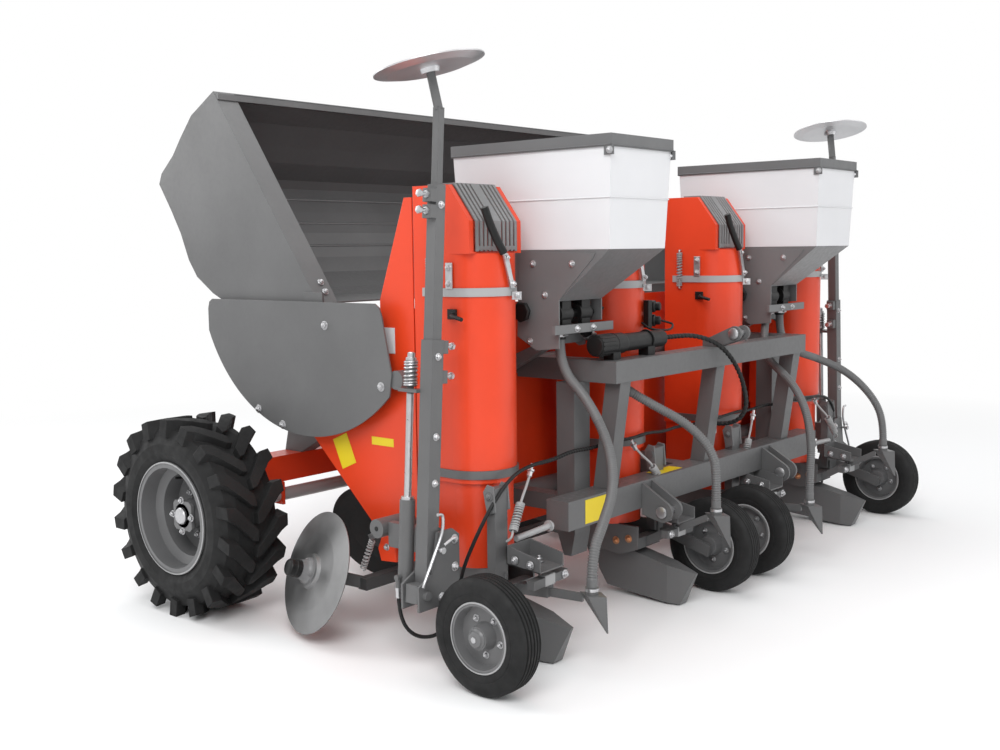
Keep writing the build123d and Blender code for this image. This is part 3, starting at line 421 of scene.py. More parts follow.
def make_cord(name, node, points, radius_at, step, sides, material):
    """A hose along its route, in place of its plain CAD tube."""
    line = spline_line(points)
    path, length = even_steps(line, step / 1000)
    rings = skin(path, lambda s, a: radius_at(s * 1000, a, length * 1000) / 1000, sides)
    piece = add_object(name, [p for ring in rings for p in ring], ring_faces(len(rings), sides), material, 60.0)
    tuple(line[0])
    [tuple(p) for p in line]
    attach(piece, "frame")
    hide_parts(node)


def corrugated(s, angle, length):
    """Rings along a suction-type hose, between plain cuffs."""
    if s < HOSE_CUFFS[0] or s > length - HOSE_CUFFS[1] or s / HOSE_PITCH % 1.0 < 0.5:
        return HOSE_R
    share, groove = HOSE_SHALLOW
    return HOSE_R - (HOSE_GROOVE if s > length * share else groove)


GUARD_SHARE, GUARD_GAP, GUARD_WALL = 0.66, 2.4, 1.0


def wrapped(radius, pitch, guard):
    """A hose with a spiral guard between two distances."""
    def radius_at(s, angle, length):
        if not guard[0] < s < guard[1]:
            return radius - GUARD_WALL
        return radius if (s / pitch - angle / math.tau) % 1.0 < GUARD_SHARE else radius - GUARD_GAP
    return radius_at


def make_cords():
    for i in range(len(ROWS)):
        make_cord(f"corrugated_hose_{i + 1}", f"fertiliser_hose_{i + 1}", hose_route(i), corrugated, HOSE_PITCH / 4,
                  HOSE_SIDES, HOSE)
    right = [*HYDRAULIC_POINTS, *RIGHT_END]
    left = [(-x, y, z) for x, y, z in HYDRAULIC_POINTS] + list(LEFT_END)
    for side, route in (("right", right), ("left", left)):
        make_cord(f"marker_hose_{side}", f"hydraulic_hose_{side}", route,
                  wrapped(HYDRAULIC_R, HYDRAULIC_PITCH, HYDRAULIC_GUARD), 3.0, 12, RUBBER_SOFT)
    make_cord("wrapped_bundle", "hydraulic_bundle", BUNDLE_POINTS, wrapped(BUNDLE_R, BUNDLE_PITCH, BUNDLE_GUARD), 2.4,
              16, RUBBER_SOFT)


make_cords()


# Small pieces

EDGE_EASE = 1.2
COIL_STEPS = 14      # points on each turn of a spring
COIL_CLOSE = 0.35    # how far the turns crowd at a spring's ends


def axis_frame(axis):
    """A unit axis and two directions square to it."""
    axis = Vector(axis).normalized()
    u = axis.orthogonal().normalized()
    return axis, u, axis.cross(u)


class Batch:
    """Small closed forms of one finish on one body, gathered in the drawing's millimetres."""

    def __init__(self, move=None):
        self.verts, self.faces = [], []
        self.move = move or Vector

    def rings(self, rings):
        self.faces += ring_faces(len(rings), len(rings[0]), len(self.verts))
        for ring in rings:
            self.verts += [self.move(point) for point in ring]

    def turned(self, at, axis, profile, sides=24, phase=0.0):
        """A form of revolution from pairs of height and radius along its axis."""
        axis, u, v = axis_frame(axis)
        rings = []
        for height, radius in profile:
            angles = [phase + math.tau * k / sides for k in range(sides)]
            rings.append([Vector(at) + axis * height + (u * math.cos(a) + v * math.sin(a)) * radius for a in angles])
        self.rings(rings)

    def ring(self, at, axis, profile, sides=48):
        """A closed ring with that outline of height and radius."""
        axis, u, v = axis_frame(axis)
        start, count = len(self.verts), len(profile)
        for k in range(sides):
            a = math.tau * k / sides
            spoke = u * math.cos(a) + v * math.sin(a)
            self.verts += [self.move(Vector(at) + axis * height + spoke * radius) for height, radius in profile]
            nxt = (k + 1) % sides
            for j in range(count):
                m = (j + 1) % count
                self.faces.append((start + k * count + j, start + nxt * count + j, start + nxt * count + m,
                                   start + k * count + m))

    def bolt(self, at, axis, size=18.0, head=9.0, stud=4.0):
        """Washer, chamfered hexagon of that size across and the end of the thread."""
        corner, washer, thread = size / math.sqrt(3), size * 0.78, size * 0.28
        self.turned(at, axis, [(-0.5, washer), (1.6, washer), (2.2, size * 0.74)], 20)
        self.turned(at, axis, [(1.8, corner), (head - 1.6, corner), (head, corner * 0.84)], 6, 0.3)
        self.turned(at, axis, [(head - 0.5, thread), (head + stud - 1, thread), (head + stud, size * 0.2)], 12)

    def rod(self, points, radius, sides=10, bend=5):
        """A round bar through smooth bends."""
        line = smooth_line([Vector(p) for p in points], bend) if len(points) > 2 else [Vector(p) for p in points]
        self.rings(skin(line, lambda s, a: radius, sides))

    def slab(self, outline, push):
        """A plate with eased edges, from its outline and its thickness as a vector."""
        push = Vector(push)
        outline = [Vector(p) for p in outline]
        middle = sum(outline, Vector()) / len(outline)
        ease = min(EDGE_EASE, push.length / 3)
        inner = [p + (middle - p).normalized() * ease for p in outline]
        unit = push.normalized() * ease
        self.rings([inner, [p + unit for p in outline], [p + push - unit for p in outline], [p + push for p in inner]])

    def front_plate(self, xs, y, zs, thick):
        """A rectangular plate that faces along Y."""
        self.slab([(xs[0], y, zs[0]), (xs[1], y, zs[0]), (xs[1], y, zs[1]), (xs[0], y, zs[1])], (0, thick, 0))

    def side_plate(self, x, ys, zs, thick):
        """A rectangular plate that faces along X."""
        self.slab([(x, ys[0], zs[0]), (x, ys[1], zs[0]), (x, ys[1], zs[1]), (x, ys[0], zs[1])], (thick, 0, 0))

    def spring(self, start, end, radius, wire, turns):
        """A coil with close turns at both ends."""
        start, end = Vector(start), Vector(end)
        _, u, v = axis_frame(end - start)
        steps = turns * COIL_STEPS
        line = []
        for k in range(steps + 1):
            share = k / steps
            angle = math.tau * turns * share
            eased = share - COIL_CLOSE * math.sin(math.tau * share) / math.tau
            line.append(start.lerp(end, eased) + (u * math.cos(angle) + v * math.sin(angle)) * radius)
        self.rings(skin(line, lambda s, a: wire, 7))

    def piece(self, name, material, body, slot, sharp=35.0):
        """The gathered forms as one object that rides on a body."""
        verts = [place(*v) for v in self.verts]
        piece = add_object(name, verts, self.faces, material, sharp)
        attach(piece, body)
        return piece


def smooth_line(points, per_run):
    """A line that rounds its corners, through all its points."""
    ends = [points[0] * 2 - points[1], *points, points[-1] * 2 - points[-2]]
    line = []
    for a, b, c, d in zip(ends, ends[1:], ends[2:], ends[3:]):
        for k in range(per_run):
            t = k / per_run
            line.append((b * 2 + (c - a) * t + (a * 2 - b * 5 + c * 4 - d) * t * t
                         + (b * 3 - a - c * 3 + d) * t ** 3) / 2)
    return line + [points[-1]]


# Wheels and discs

REAR_HUB = (1483.0, 579.0, 375.0)
REAR_HUB_FACE = 66.0
GAUGE_WHEELS = ((-1452.0, -1), (-142.0, 1), (142.0, -1), (1452.0, 1))  # x, side that the rim's open face looks to
GAUGE_HUB_Y, GAUGE_HUB_Z = -780.0, 197.0
GAUGE_HUB_FACE = 44.0
REAR_EDGE, REAR_EDGE_R = 118.3, 201.5
HUB_PLATE_HALF, HUB_PLATE_CUT, HUB_PLATE_THICK = 54, 12, 14
RIM_DISC_DEPTH = 79.0   # from the hub's face
DISC_TOE, DISC_LEAN = 15.0, 20.0
DISC_Z = 246.0
MIDDLE_ROWS = 1000.0    # the middle rows lie within this x
DISC_REACH = {"beside": (315.0, 0.0), "outboard": (270.0, 225.0), "inboard": (215.0, 225.0)}


def around(centre, axis, radius, count, phase=0.0):
    """Points on a circle about an axis."""
    _, u, v = axis_frame(axis)
    for k in range(count):
        angle = phase + math.tau * k / count
        yield Vector(centre) + (u * math.cos(angle) + v * math.sin(angle)) * radius


def make_rear_hubs():
    """Square hub plate, round cap, wheel nuts on black washers, the valve, and a painted highlight on both lips of the
    rim.
    """
    x, y, z = REAR_HUB
    for name, side in SIDES.items():
        face = Vector((side * (x + REAR_HUB_FACE), y, z))
        out = (side, 0, 0)
        hub, nuts, dark, lip_highlight = Batch(), Batch(), Batch(), Batch()
        w, c = HUB_PLATE_HALF, HUB_PLATE_HALF - HUB_PLATE_CUT
        outline = [(w, c), (c, w), (-c, w), (-w, c), (-w, -c), (-c, -w), (c, -w), (w, -c)]
        back = -side * HUB_PLATE_THICK
        hub.slab([face + Vector((back, a, b)) for a, b in outline], (-back, 0, 0))
        nuts.turned(face, out, [(0, 31), (9, 31), (13, 27), (14, 20)], 28)
        for at in around(face, out, 56, 4, math.pi / 4):
            nuts.bolt(at, out, 17, 10)
        for at in around(face - Vector((side * RIM_DISC_DEPTH, 0, 0)), out, 82, 5, 0.4):
            dark.turned(at, out, [(-8, 15), (9, 15), (11, 12)], 16)
            nuts.bolt(at + Vector((side * 10, 0, 0)), out, 17, 11, 6)
        # Painted highlight: a thin bead in the light galvanised colour on both lips of the rim grey rim.
        for turn in (1, -1):
            h, r = REAR_EDGE, REAR_EDGE_R
            lip = [(h, r), (h + 1.2, r + 1.5), (h + 2.4, r), (h + 2.4, r - 4.5)]
            lip_highlight.ring((side * x, y, z), (turn * side, 0, 0), lip, 72)
        valve = face + Vector((-side * 60, 40, 120))
        dark.rod([valve, valve + Vector((side * 22, 5, 8)), valve + Vector((side * 50, 6, 10))], 4.5)
        hub.piece(f"hub_plate_{name}", GREY_SHEET, f"rear_wheel_{name}", "rim_grey")
        nuts.piece(f"hub_nuts_{name}", ZINC, f"rear_wheel_{name}", "zinc")
        dark.piece(f"hub_washers_{name}", BLACK_PAINT, f"rear_wheel_{name}", "dark_paint")
        lip_highlight.piece(f"rim_lip_highlights_{name}", BRIGHT, f"rear_wheel_{name}", "rim_grey")


def make_gauge_hubs():
    """Bearing cap and five bolts on each gauge wheel."""
    for i, (x, side) in enumerate(GAUGE_WHEELS):
        nuts, cap = Batch(), Batch()
        out = (side, 0, 0)
        face = Vector((x + side * GAUGE_HUB_FACE, GAUGE_HUB_Y, GAUGE_HUB_Z))
        cap.turned(face, out, [(-10, 30), (2, 30), (5, 27), (8, 24), (12, 23), (15, 18)], 28)
        nuts.turned(face + Vector((side * 15, 0, 0)), out, [(-1, 9), (3, 9), (5, 6)], 14)
        for turn in (1, -1):
            for at in around((x + turn * 6, GAUGE_HUB_Y, GAUGE_HUB_Z), (turn, 0, 0), 58, 5, 0.5):
                nuts.bolt(at, (turn, 0, 0), 14, 8)
        cap.piece(f"bearing_cap_{i + 1}", GREY_RIM, f"gauge_wheel_{i + 1}", "rim_grey")
        nuts.piece(f"rim_bolts_{i + 1}", ZINC, f"gauge_wheel_{i + 1}", "zinc")


def make_disc_hubs():
    """Zinc flange with its bolts and a black grease cap on each covering disc."""
    toe, lean = math.radians(DISC_TOE), math.radians(DISC_LEAN)
    for i, x in enumerate(ROWS):
        for letter, side in (("a", -1), ("b", 1)):
            if side * x < 0:
                kind = "inboard"
            else:
                kind = "beside" if abs(x) > MIDDLE_ROWS else "outboard"
            reach, y = DISC_REACH[kind]
            out = Vector((side * math.cos(lean) * math.cos(toe), math.cos(lean) * math.sin(toe), math.sin(lean)))
            centre = Vector((x + side * reach, y, DISC_Z))
            bolts, cap = Batch(), Batch()
            bolts.turned(centre + out * 24, out, [(-8, 46), (2, 44), (4, 40), (14, 34), (30, 32)], 28)
            for at in around(centre + out * 27, out, 37, 4, 0.6):
                bolts.bolt(at, out, 11, 6, 3)
            cap.turned(centre + out * 48, out, [(0, 30), (24, 30), (26, 28), (44, 28), (48, 25), (50, 20)], 26)
            bolts.piece(f"disc_flange_{i + 1}{letter}", GREY_SHEET, f"covering_disc_{i + 1}{letter}", "zinc")
            cap.piece(f"disc_cap_{i + 1}{letter}", BLACK, f"covering_disc_{i + 1}{letter}", "black_plastic")


GAUGE_TYRE_R, GAUGE_BEAD, GAUGE_BEAD_R = 177.0, 36.5, 100.3
GAUGE_CROWN = 0.05
GROOVES = (-27.0, -13.5, 0.0, 13.5, 27.0)
GROOVE_MOUTH, GROOVE_FLOOR, GROOVE_DEPTH = 3.4, 2.0, 6.5  # half widths, and the depth


def make_gauge_tyres():
    """Ribbed implement tyres in the form of their CAD solids, with a painted highlight on both lips of each rim."""
    tread = []
    low = GAUGE_TYRE_R - GROOVE_DEPTH
    for groove in GROOVES:
        top = GAUGE_TYRE_R - abs(groove) * GAUGE_CROWN
        tread += [(groove - GROOVE_MOUTH, top), (groove - GROOVE_FLOOR, low), (groove + GROOVE_FLOOR, low),
                  (groove + GROOVE_MOUTH, top)]
    right = [(36, 172), (42, 165), (45.5, 154), (47.4, 138), (47.4, 132), (46.4, 131), (46.4, 128), (47.2, 127),
             (46, 116), (42, 108.5), (GAUGE_BEAD + 1, 107.6), (GAUGE_BEAD, GAUGE_BEAD_R)]
    outline = tread + right + [(-h, r) for h, r in right[::-1]]
    # The rim lip's bead, drawn in the light galvanised colour as a painted highlight.
    rim_outline = [(40.5, 105.5), (41.6, 107), (42.8, 105.5), (42.8, 101)]
    for i, (x, _) in enumerate(GAUGE_WHEELS):
        tyre, edge = Batch(), Batch()
        centre = (x, GAUGE_HUB_Y, GAUGE_HUB_Z)
        tyre.ring(centre, (1, 0, 0), outline, 96)
        piece = tyre.piece(f"ribbed_tyre_{i + 1}", RUBBER, f"gauge_wheel_{i + 1}", "tyre", 25.0)
        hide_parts(f"gauge_tyre_{i + 1}")
        # Painted highlight on both lips of the rim.
        for turn in (1, -1):
            edge.ring(centre, (turn, 0, 0), rim_outline, 60)
        edge.piece(f"gauge_rim_edges_{i + 1}", BRIGHT, f"gauge_wheel_{i + 1}", "rim_grey")


make_rear_hubs()
make_gauge_hubs()
make_gauge_tyres()
make_disc_hubs()


# Hitch

HITCH_PINS = ((-454.0, -772.0, 381.0, 13.6), (454.0, -772.0, 381.0, 13.6), (0.0, -800.0, 985.0, 12.1))
LUG_REACH = 38.0
PIN_LENGTH = 100.0
LINCH_R, LINCH_TILT = 17, 0.3


def make_hitch_pins():
    """Pins with round heads through both lugs, each with a linch pin and its ring."""
    pins, rings = Batch(), Batch()
    for x, y, z, r in HITCH_PINS:
        start = x - LUG_REACH
        pins.turned((start - 12, y, z), (1, 0, 0), [(0, 14), (3, 21), (9, 21), (11.5, 18)], 26)
        pins.turned((start - 1, y, z), (1, 0, 0), [(0, r), (PIN_LENGTH - 4, r), (PIN_LENGTH, r - 4)], 22)
        end = x + LUG_REACH + 13
        rings.rod([(end, y - 17, z - 8), (end, y, z), (end, y + 17, z + 8)], 3.2, 8, 2)
        loop = []
        for k in range(19):
            a = math.tau * k / 18
            loop.append((end + 3 * math.cos(a), y - 3 + LINCH_R * math.cos(a) * LINCH_TILT,
                         z - 16 - LINCH_R * math.sin(a)))
        rings.rod(loop, 2.2, 7, 2)
    pins.piece("hitch_pins", ZINC, "frame", "zinc")
    rings.piece("linch_pins", STEEL, "frame", "zinc")


make_hitch_pins()


# Bolts on plates: x, y, z, axis, size across

SIDE_FACE = 1305.0
BRACKET_FACE = -583.0
RAIL_FACE, RAIL_Z = -648.0, 1047.0
CONE_FACES = (-904.0, 582.0)
TANKS = (-743.0, 743.0)
LID_HALF, LID_EDGE_Y, LID_EDGE_Z = 181.0, -849.0, 1613.0
FRAME_BOLTS = [(side * SIDE_FACE, y, z, (side, 0, 0), 20) for side in (-1, 1)
               for y, z in ((-208, 870), (433, 746), (60, 1062), (300, 700))]
FRAME_BOLTS += [(side * x, BRACKET_FACE, z, (0, -1, 0), 19) for side in (-1, 1)
                for x, z in ((1372, 436), (1372, 350), (1432, 268))]
FRAME_BOLTS += [(face + x, RAIL_FACE, RAIL_Z, (0, -1, 0), 15) for face in CONE_FACES for x in (79, 170)]
FRAME_BOLTS += [(face - 4, y, z, (-1, 0, 0), 15) for face in CONE_FACES
                for y, z in ((-579, 1160), (-515, 1005), (-690, 1262), (-530, 1262))]
FRAME_BOLTS += [(x + side * LID_HALF, LID_EDGE_Y, LID_EDGE_Z, (side, 0, 0), 15) for x in TANKS for side in (-1, 1)]
COPPER_BOLTS = [(x + side * 74, y, z, (side, 0, 0), 19) for x in ROWS for side in (-1, 1)
                for y, z in ((-600, 250), (-545, 236))]


def make_bolts():
    for name, table, material in (("plate_bolts", FRAME_BOLTS, ZINC), ("row_frame_bolts", COPPER_BOLTS, COPPER)):
        batch = Batch()
        for x, y, z, axis, size in table:
            batch.bolt((x, y, z), axis, size)
        batch.piece(name, material, "frame", "zinc")


make_bolts()


# Markers

MARKER_PIVOT = (-1500.0, 288.0)
MAST_LEAN = math.radians(3.8)
MAST_X, MAST_Y = -1462.0, -545.0
MAST_CLIPS = ((1030, 24, 1), (940, 24, 1), (1478, 19, -1), (1430, 19, -1))  # z, the tube's half width, side
CLIP_WIDTH = 26
CYLINDER_X, CYLINDER_Y = -1474.0, -470.0
DISC_NECK = Vector((-0.19, 0.17, 1.0)).normalized()
NECK_FOOT_Z, NECK_LENGTH = 1730.0, 108.3


def leaned(side):
    """A point of the upright right marker, leaned as it rests, and mirrored for the left one."""
    def move(point):
        x, z = point[0] - MARKER_PIVOT[0], point[2] - MARKER_PIVOT[1]
        turned_x = x * math.cos(MAST_LEAN) + z * math.sin(MAST_LEAN)
        turned_z = z * math.cos(MAST_LEAN) - x * math.sin(MAST_LEAN)
        return Vector((-side * (MARKER_PIVOT[0] + turned_x), point[1], MARKER_PIVOT[1] + turned_z))
    return move


def make_marker_details(name, side):
    """Clamp screws on the mast, rod and cushion spring of the cylinder, and the latch on the bracket."""
    arm, clips = Batch(leaned(side)), Batch(leaned(side))
    screw = [(-1, 12), (5, 12), (6, 6.5), (26, 6.5), (27, 12), (36, 12), (37, 9)]
    for z, half, turn in MAST_CLIPS:
        start, end = MAST_X + turn * half, MAST_X + turn * (half + CLIP_WIDTH)
        clips.front_plate((start, end), MAST_Y - 20, (z - 22, z + 18), 34)
        arm.turned((end, MAST_Y - 4, z), (turn, 0, 0), screw, 6)
    for z, half in ((1000, 24), (1450, 19), (620, 24), (760, 24)):
        arm.bolt((MAST_X, MAST_Y - half, z), (0, -1, 0), 15)
    arm.piece(f"mast_screws_{name}", ZINC, f"marker_arm_{name}", "zinc")
    clips.piece(f"mast_clips_{name}", GREY, f"marker_arm_{name}", "grey_paint")
    rod = Batch(leaned(side))
    x, y = CYLINDER_X, CYLINDER_Y
    rod.turned((x, y, 560), (0, 0, 1), [(0, 20), (10, 20), (12, 11.6), (324, 11.6)], 20)
    rod.turned((x, y, 985), (0, 0, 1), [(0, 17), (8, 17), (10, 12), (22, 12), (25, 8)], 18)
    rod.spring((x, y, 908), (x, y, 984), 19.5, 3.4, 8)
    rod.piece(f"cylinder_rod_{name}", ZINC, "frame", "zinc")
    latch = Batch(lambda p: Vector((-side * p[0], p[1], p[2])))
    latch.rod([(-1458, -596, 528), (-1436, -596, 520), (-1438, -594, 470), (-1474, -592, 400), (-1512, -592, 336),
               (-1520, -591, 318)], 5.0)
    latch.rod([(-1452, -612, 420), (-1452, -584, 420)], 5.5)
    latch.turned((-1452, -614, 420), (0, 1, 0), [(0, 10), (6, 10), (8, 7)], 16)
    latch.rod([(-1448, -612, 436), (-1414, -618, 452), (-1402, -618, 444)], 5.0, 8)
    latch.rod([(-1504, -470, 262), (-1504, -470, 285)], 9.5, 6)
    latch.turned((-1504, -470, 285), (0, 0, 1), [(0, 10.5), (9, 10.5), (10, 8)], 6)
    latch.piece(f"marker_latch_{name}", ZINC, "frame", "zinc")


def make_marker_disc_bolts(name, side):
    """Bolts of the marker disc on its hub."""
    centre = Vector((MAST_X, MAST_Y, NECK_FOOT_Z)) + DISC_NECK * NECK_LENGTH
    batch = Batch(leaned(side))
    for at in around(centre + DISC_NECK * 18, DISC_NECK, 42, 5):
        batch.bolt(at, DISC_NECK, 13, 7)
    batch.turned(centre + DISC_NECK * 17, DISC_NECK, [(0, 16), (5, 16), (8, 11)], 18)
    batch.piece(f"marker_hub_{name}", ZINC, f"marker_wheel_{name}", "zinc")


for marker, marker_side in SIDES.items():
    make_marker_details(marker, marker_side)
    make_marker_disc_bolts(marker, marker_side)


# Planting tubes and row units

TUBE_SPRING_Y = -392
LINK_PIN_Y, LINK_PIN_Z = -616, 548
STOP_X = 1318
BOX_X, BOX_SHEET = (-84, 36), 5
BOX_BACK, BOX_FRONT = (-652, 332), (-786, 322)  # y, z
BOX_BACK_RIM, BOX_FRONT_RIM = (-652, 392), (-786, 366)


def make_tube_fittings():
    """Band ends, the lever with its fork, the link plate and the spring of each tube."""
    bright, dark, coil = Batch(), Batch(), Batch()
    for x in ROWS:
        bright.slab([(x + 20, -600, 1153), (x + 20, -600, 1179), (x + 34, -628, 1179), (x + 34, -628, 1153)], (6, 3, 0))
        bright.bolt((x + 30, -614, 1166), (-1, -0.4, 0), 15)
        bright.side_plate(x - 128, (-486, -458), (1190, 1272), -5)
        for z in (1206, 1256):
            bright.bolt((x - 133, -472, z), (-1, 0, 0), 15)
        dark.rod([(x - 92, -588, 1440), (x - 74, -594, 1392), (x - 48, -604, 1334), (x - 28, -610, 1300)], 13.0, 12)
        bright.slab([(x - 30, -604, 1300), (x - 8, -604, 1300), (x + 24, -604, 1190), (x + 6, -604, 1190)], (0, -7, 0))
        bright.bolt((x - 16, -611, 1286), (0, -1, 0), 14)
        bright.bolt((x + 14, -611, 1204), (0, -1, 0), 14)
        dark.rod([(x - 126, -486, 1112), (x - 150, -500, 1108), (x - 156, -545, 1098)], 6.5, 10)
        dark.side_plate(x - 126, (-500, -466), (1096, 1128), -10)
        y = TUBE_SPRING_Y
        coil.spring((x - 136, y, 1150), (x - 136, y, 1288), 10.0, 2.6, 15)
        bright.rod([(x - 118, y, 1140), (x - 136, y, 1142), (x - 136, y, 1152)], 4.0, 8)
        bright.rod([(x - 118, y, 1298), (x - 136, y, 1296), (x - 136, y, 1286)], 4.0, 8)
    bright.piece("tube_levers", ZINC, "frame", "zinc")
    dark.piece("tube_knobs", BLACK, "frame", "black_plastic")
    coil.piece("tube_springs", BRIGHT, "frame", "zinc")


def make_uprights():
    """The bar in front of each tube that carries the gauge wheel's arm, with its link plates."""
    bars, links = Batch(), Batch()
    for row, (_, side) in zip(ROWS, GAUGE_WHEELS):
        x0, x1 = row + side * 52, row + side * 112
        bars.front_plate((x0, x1), -632, (262, 572), 34)
        bars.turned((x0 - side * 10, LINK_PIN_Y, LINK_PIN_Z), (side, 0, 0), [(0, 15), (80, 15)], 20)
        for x in (x0 - side * 6, x1 + side * 2):
            outline = [(x, -640, 500), (x, -606, 488), (x, -590, 560), (x, -606, 584), (x, -632, 580)]
            links.slab(outline, (side * 6, 0, 0))
            links.bolt((x + side * 6, LINK_PIN_Y, LINK_PIN_Z), (side, 0, 0), 16)
    bars.piece("row_uprights", GREY, "frame", "grey_paint")
    links.piece("upright_links", GREY_SHEET, "frame", "zinc")


def make_scraper_blocks():
    """Orange stop, lever and spring of the outer disc arms, and painted shade in the lower toolbar's bores."""
    stops, levers, coils, dark = Batch(), Batch(), Batch(), Batch()
    for side in (-1, 1):
        x = side * STOP_X
        stops.slab([(x, -296, 306), (x, -226, 300), (x, -212, 340), (x, -236, 394), (x, -292, 394)], (side * 22, 0, 0))
        levers.slab([(x, -262, 402), (x, -214, 404), (x, -150, 372), (x, -158, 356), (x, -222, 380)], (side * 9, 0, 0))
        levers.bolt((x + side * 22, -254, 350), (side, 0, 0), 15)
        coils.spring((x + side * 5, -168, 356), (x + side * 5, -118, 250), 9.5, 2.6, 11)
        # Painted shade: a thin black disc on each end of the lower toolbar, for the shade inside its bore.
        dark.turned((side * 1400.2, -270, 425), (side, 0, 0), [(-1, 8), (0.8, 8)], 18)
    stops.piece("arm_stops", ORANGE, "frame", "orange_paint")
    levers.piece("arm_levers", ZINC, "frame", "zinc")
    coils.piece("arm_springs", BRIGHT, "frame", "zinc")
    # The black discs are painted shade in the bores.
    dark.piece("toolbar_bore_shade", BLACK_PAINT, "frame", "dark_paint")


def make_row_springs():
    """Each row's folded box, square bar, round bar, return spring with its hook and screw, in front of the tube."""
    coil, bars, boxes, screws = Batch(), Batch(), Batch(), Batch()
    for row, (_, side) in zip(ROWS, GAUGE_WHEELS):
        def at(inward, y, z):
            return (row - side * inward, y, z)
        coil.spring(at(-63, -664, 436), at(-8, -650, 512), 12.5, 3.0, 13)
        bars.rod([at(-64, -664, 438), at(-78, -668, 418), at(-82, -652, 404)], 4.0, 8)
        bars.rod([at(-8, -650, 510), at(2, -648, 526), at(40, -636, 560), at(70, -626, 590)], 4.5, 8)
        screw = [(0, 9), (16, 9), (18, 13), (24, 13), (26, 6), (44, 6)]
        screws.turned(at(66, -626, 584), (-side * 0.5, 0.1, 0.8), screw, 6)
        bars.rod([at(-30, -648, 402), at(138, -648, 410)], 10.5, 14)
        bars.turned(at(136, -648, 410), (-side, 0, 0), [(0, 19), (7, 19), (8, 13), (16, 13)], 18)
        for wall, turn in zip(BOX_X, (-1, 1)):
            outline = [at(wall, *p) for p in (BOX_BACK, BOX_FRONT, BOX_FRONT_RIM, BOX_BACK_RIM)]
            boxes.slab(outline, (turn * side * BOX_SHEET, 0, 0))
        x0, x1 = BOX_X
        boxes.slab([at(x0, *BOX_BACK), at(x1, *BOX_BACK), at(x1, *BOX_BACK_RIM), at(x0, *BOX_BACK_RIM)],
                   (0, -BOX_SHEET, 0))
        boxes.slab([at(x0, *BOX_BACK), at(x1, *BOX_BACK), at(x1, *BOX_FRONT), at(x0, *BOX_FRONT)], (0, 0, BOX_SHEET))
        for y, z in ((-690, 352), (-752, 346)):
            screws.bolt(at(x0 - BOX_SHEET, y, z), (side, 0, 0), 18)
            screws.bolt(at(x1 + BOX_SHEET, y, z), (-side, 0, 0), 18)
        for inward in (-40, 0):
            screws.bolt(at(inward, -716, 334), (0, 0, 1), 20, 12, 8)
        boxes.slab([at(-96, -772, 270), at(76, -772, 276), at(76, -772, 304), at(-96, -772, 298)], (0, 30, 0))
        bars.slab([at(-40, -773, 270), at(10, -773, 271), at(10, -773, 306), at(-40, -773, 305)], (0, 32, 0))
        screws.bolt(at(58, -773, 290), (0, -1, 0), 18)
    coil.piece("row_springs", BRIGHT, "frame", "zinc")
    bars.piece("row_links", BRIGHT, "frame", "zinc")
    boxes.piece("row_boxes", GREY, "frame", "grey_paint")
    screws.piece("row_screws", ZINC, "frame", "zinc")


make_tube_fittings()
make_uprights()
make_scraper_blocks()
make_row_springs()


# Fertiliser hoppers and metering

TANK_SEAM_Z = 1470.0
SEAM_HALF, SEAM_FRONT, SEAM_BACK = 169.4, -843.4, -195.6
FOLD_FRONT, FOLD_BACK, FOLD_Z = -855, -186, 1630
CANISTER_Y, CANISTER_Z = -672.0, 985.0
CAP_R, CAP_RIDGES, STRAP_R = 36.0, 16, 34.5
FLANGE_X, FLANGE_FOOT, FLANGE_SLOPE = 1225, (118, 1132), 0.714  # foot: y, z


def make_tank_trim():
    """The seam round each hopper, the lid's folds, the metering units' knobs and the hose clamps."""
    seam, clamps, knobs = Batch(), Batch(), Batch()
    for i, x in enumerate(TANKS):
        x0, x1 = x - SEAM_HALF, x + SEAM_HALF
        corners = [(x0, SEAM_FRONT), (x1, SEAM_FRONT), (x1, SEAM_BACK), (x0, SEAM_BACK)]
        for (ax, ay), (bx, by) in zip(corners, corners[1:] + corners[:1]):
            seam.rod([(ax, ay, TANK_SEAM_Z), (bx, by, TANK_SEAM_Z)], 2.6, 10)
        fold = Batch()
        for edge in (x - LID_HALF, x + LID_HALF):
            fold.rod([(edge, FOLD_FRONT + 2, FOLD_Z), (edge, FOLD_BACK, FOLD_Z)], 2.2, 8)
        fold.rod([(x - LID_HALF, FOLD_FRONT, FOLD_Z), (x + LID_HALF, FOLD_FRONT, FOLD_Z)], 2.2, 8)
        fold.piece(f"lid_fold_{i + 1}", LID, f"fertiliser_lid_{i + 1}", "grey_plastic")
        knobs.turned((x - 172, -500, 1104), (-1, 0, 0), [(0, 14), (10, 14), (12, 34), (22, 36), (26, 30)], 7)
    for i in range(len(SPOUT_MOUTHS)):
        mouth, out = spout(i)
        clamps.turned(mouth - out * 20, out, [(0, 22.4), (12, 22.4)], 24)
        clamps.turned(mouth - out * 14 + Vector((0, -25, 0)), (1, 0, 0), [(-10, 4), (10, 4)], 8)
    for x, foot in zip(ROWS, SOCKET_TOPS):
        clamps.turned((x, COULTER_Y, foot - 12), (0, 0, 1), [(0, 21), (9, 21)], 24)
    seam.piece("tank_seams", WHITE, "frame", "white_plastic")
    clamps.piece("hose_clamps", ZINC, "frame", "zinc")
    knobs.piece("metering_knobs", BLACK, "frame", "black_plastic")


def make_valves():
    """The two black valves on the second tube, with their plate and cable."""
    dark = Batch()
    for z in (1096.0, 1044.0):
        dark.turned((-312.0, -578, z), (0.35, -1, 0), [(0, 19), (8, 22), (40, 22), (44, 16), (58, 16), (62, 12)], 18)
    dark.slab([(-352, -600, 1020), (-352, -600, 1120), (-330, -602, 1120), (-330, -602, 1020)], (0, -22, 0))
    cable = [(-292, -640, 1044), (-262, -668, 1030), (-300, -676, 1012), (-362, -640, 1018), (-372, -606, 1040)]
    dark.rod(cable, 4.0, 8)
    dark.piece("marker_valves", BLACK, "frame", "black_plastic")


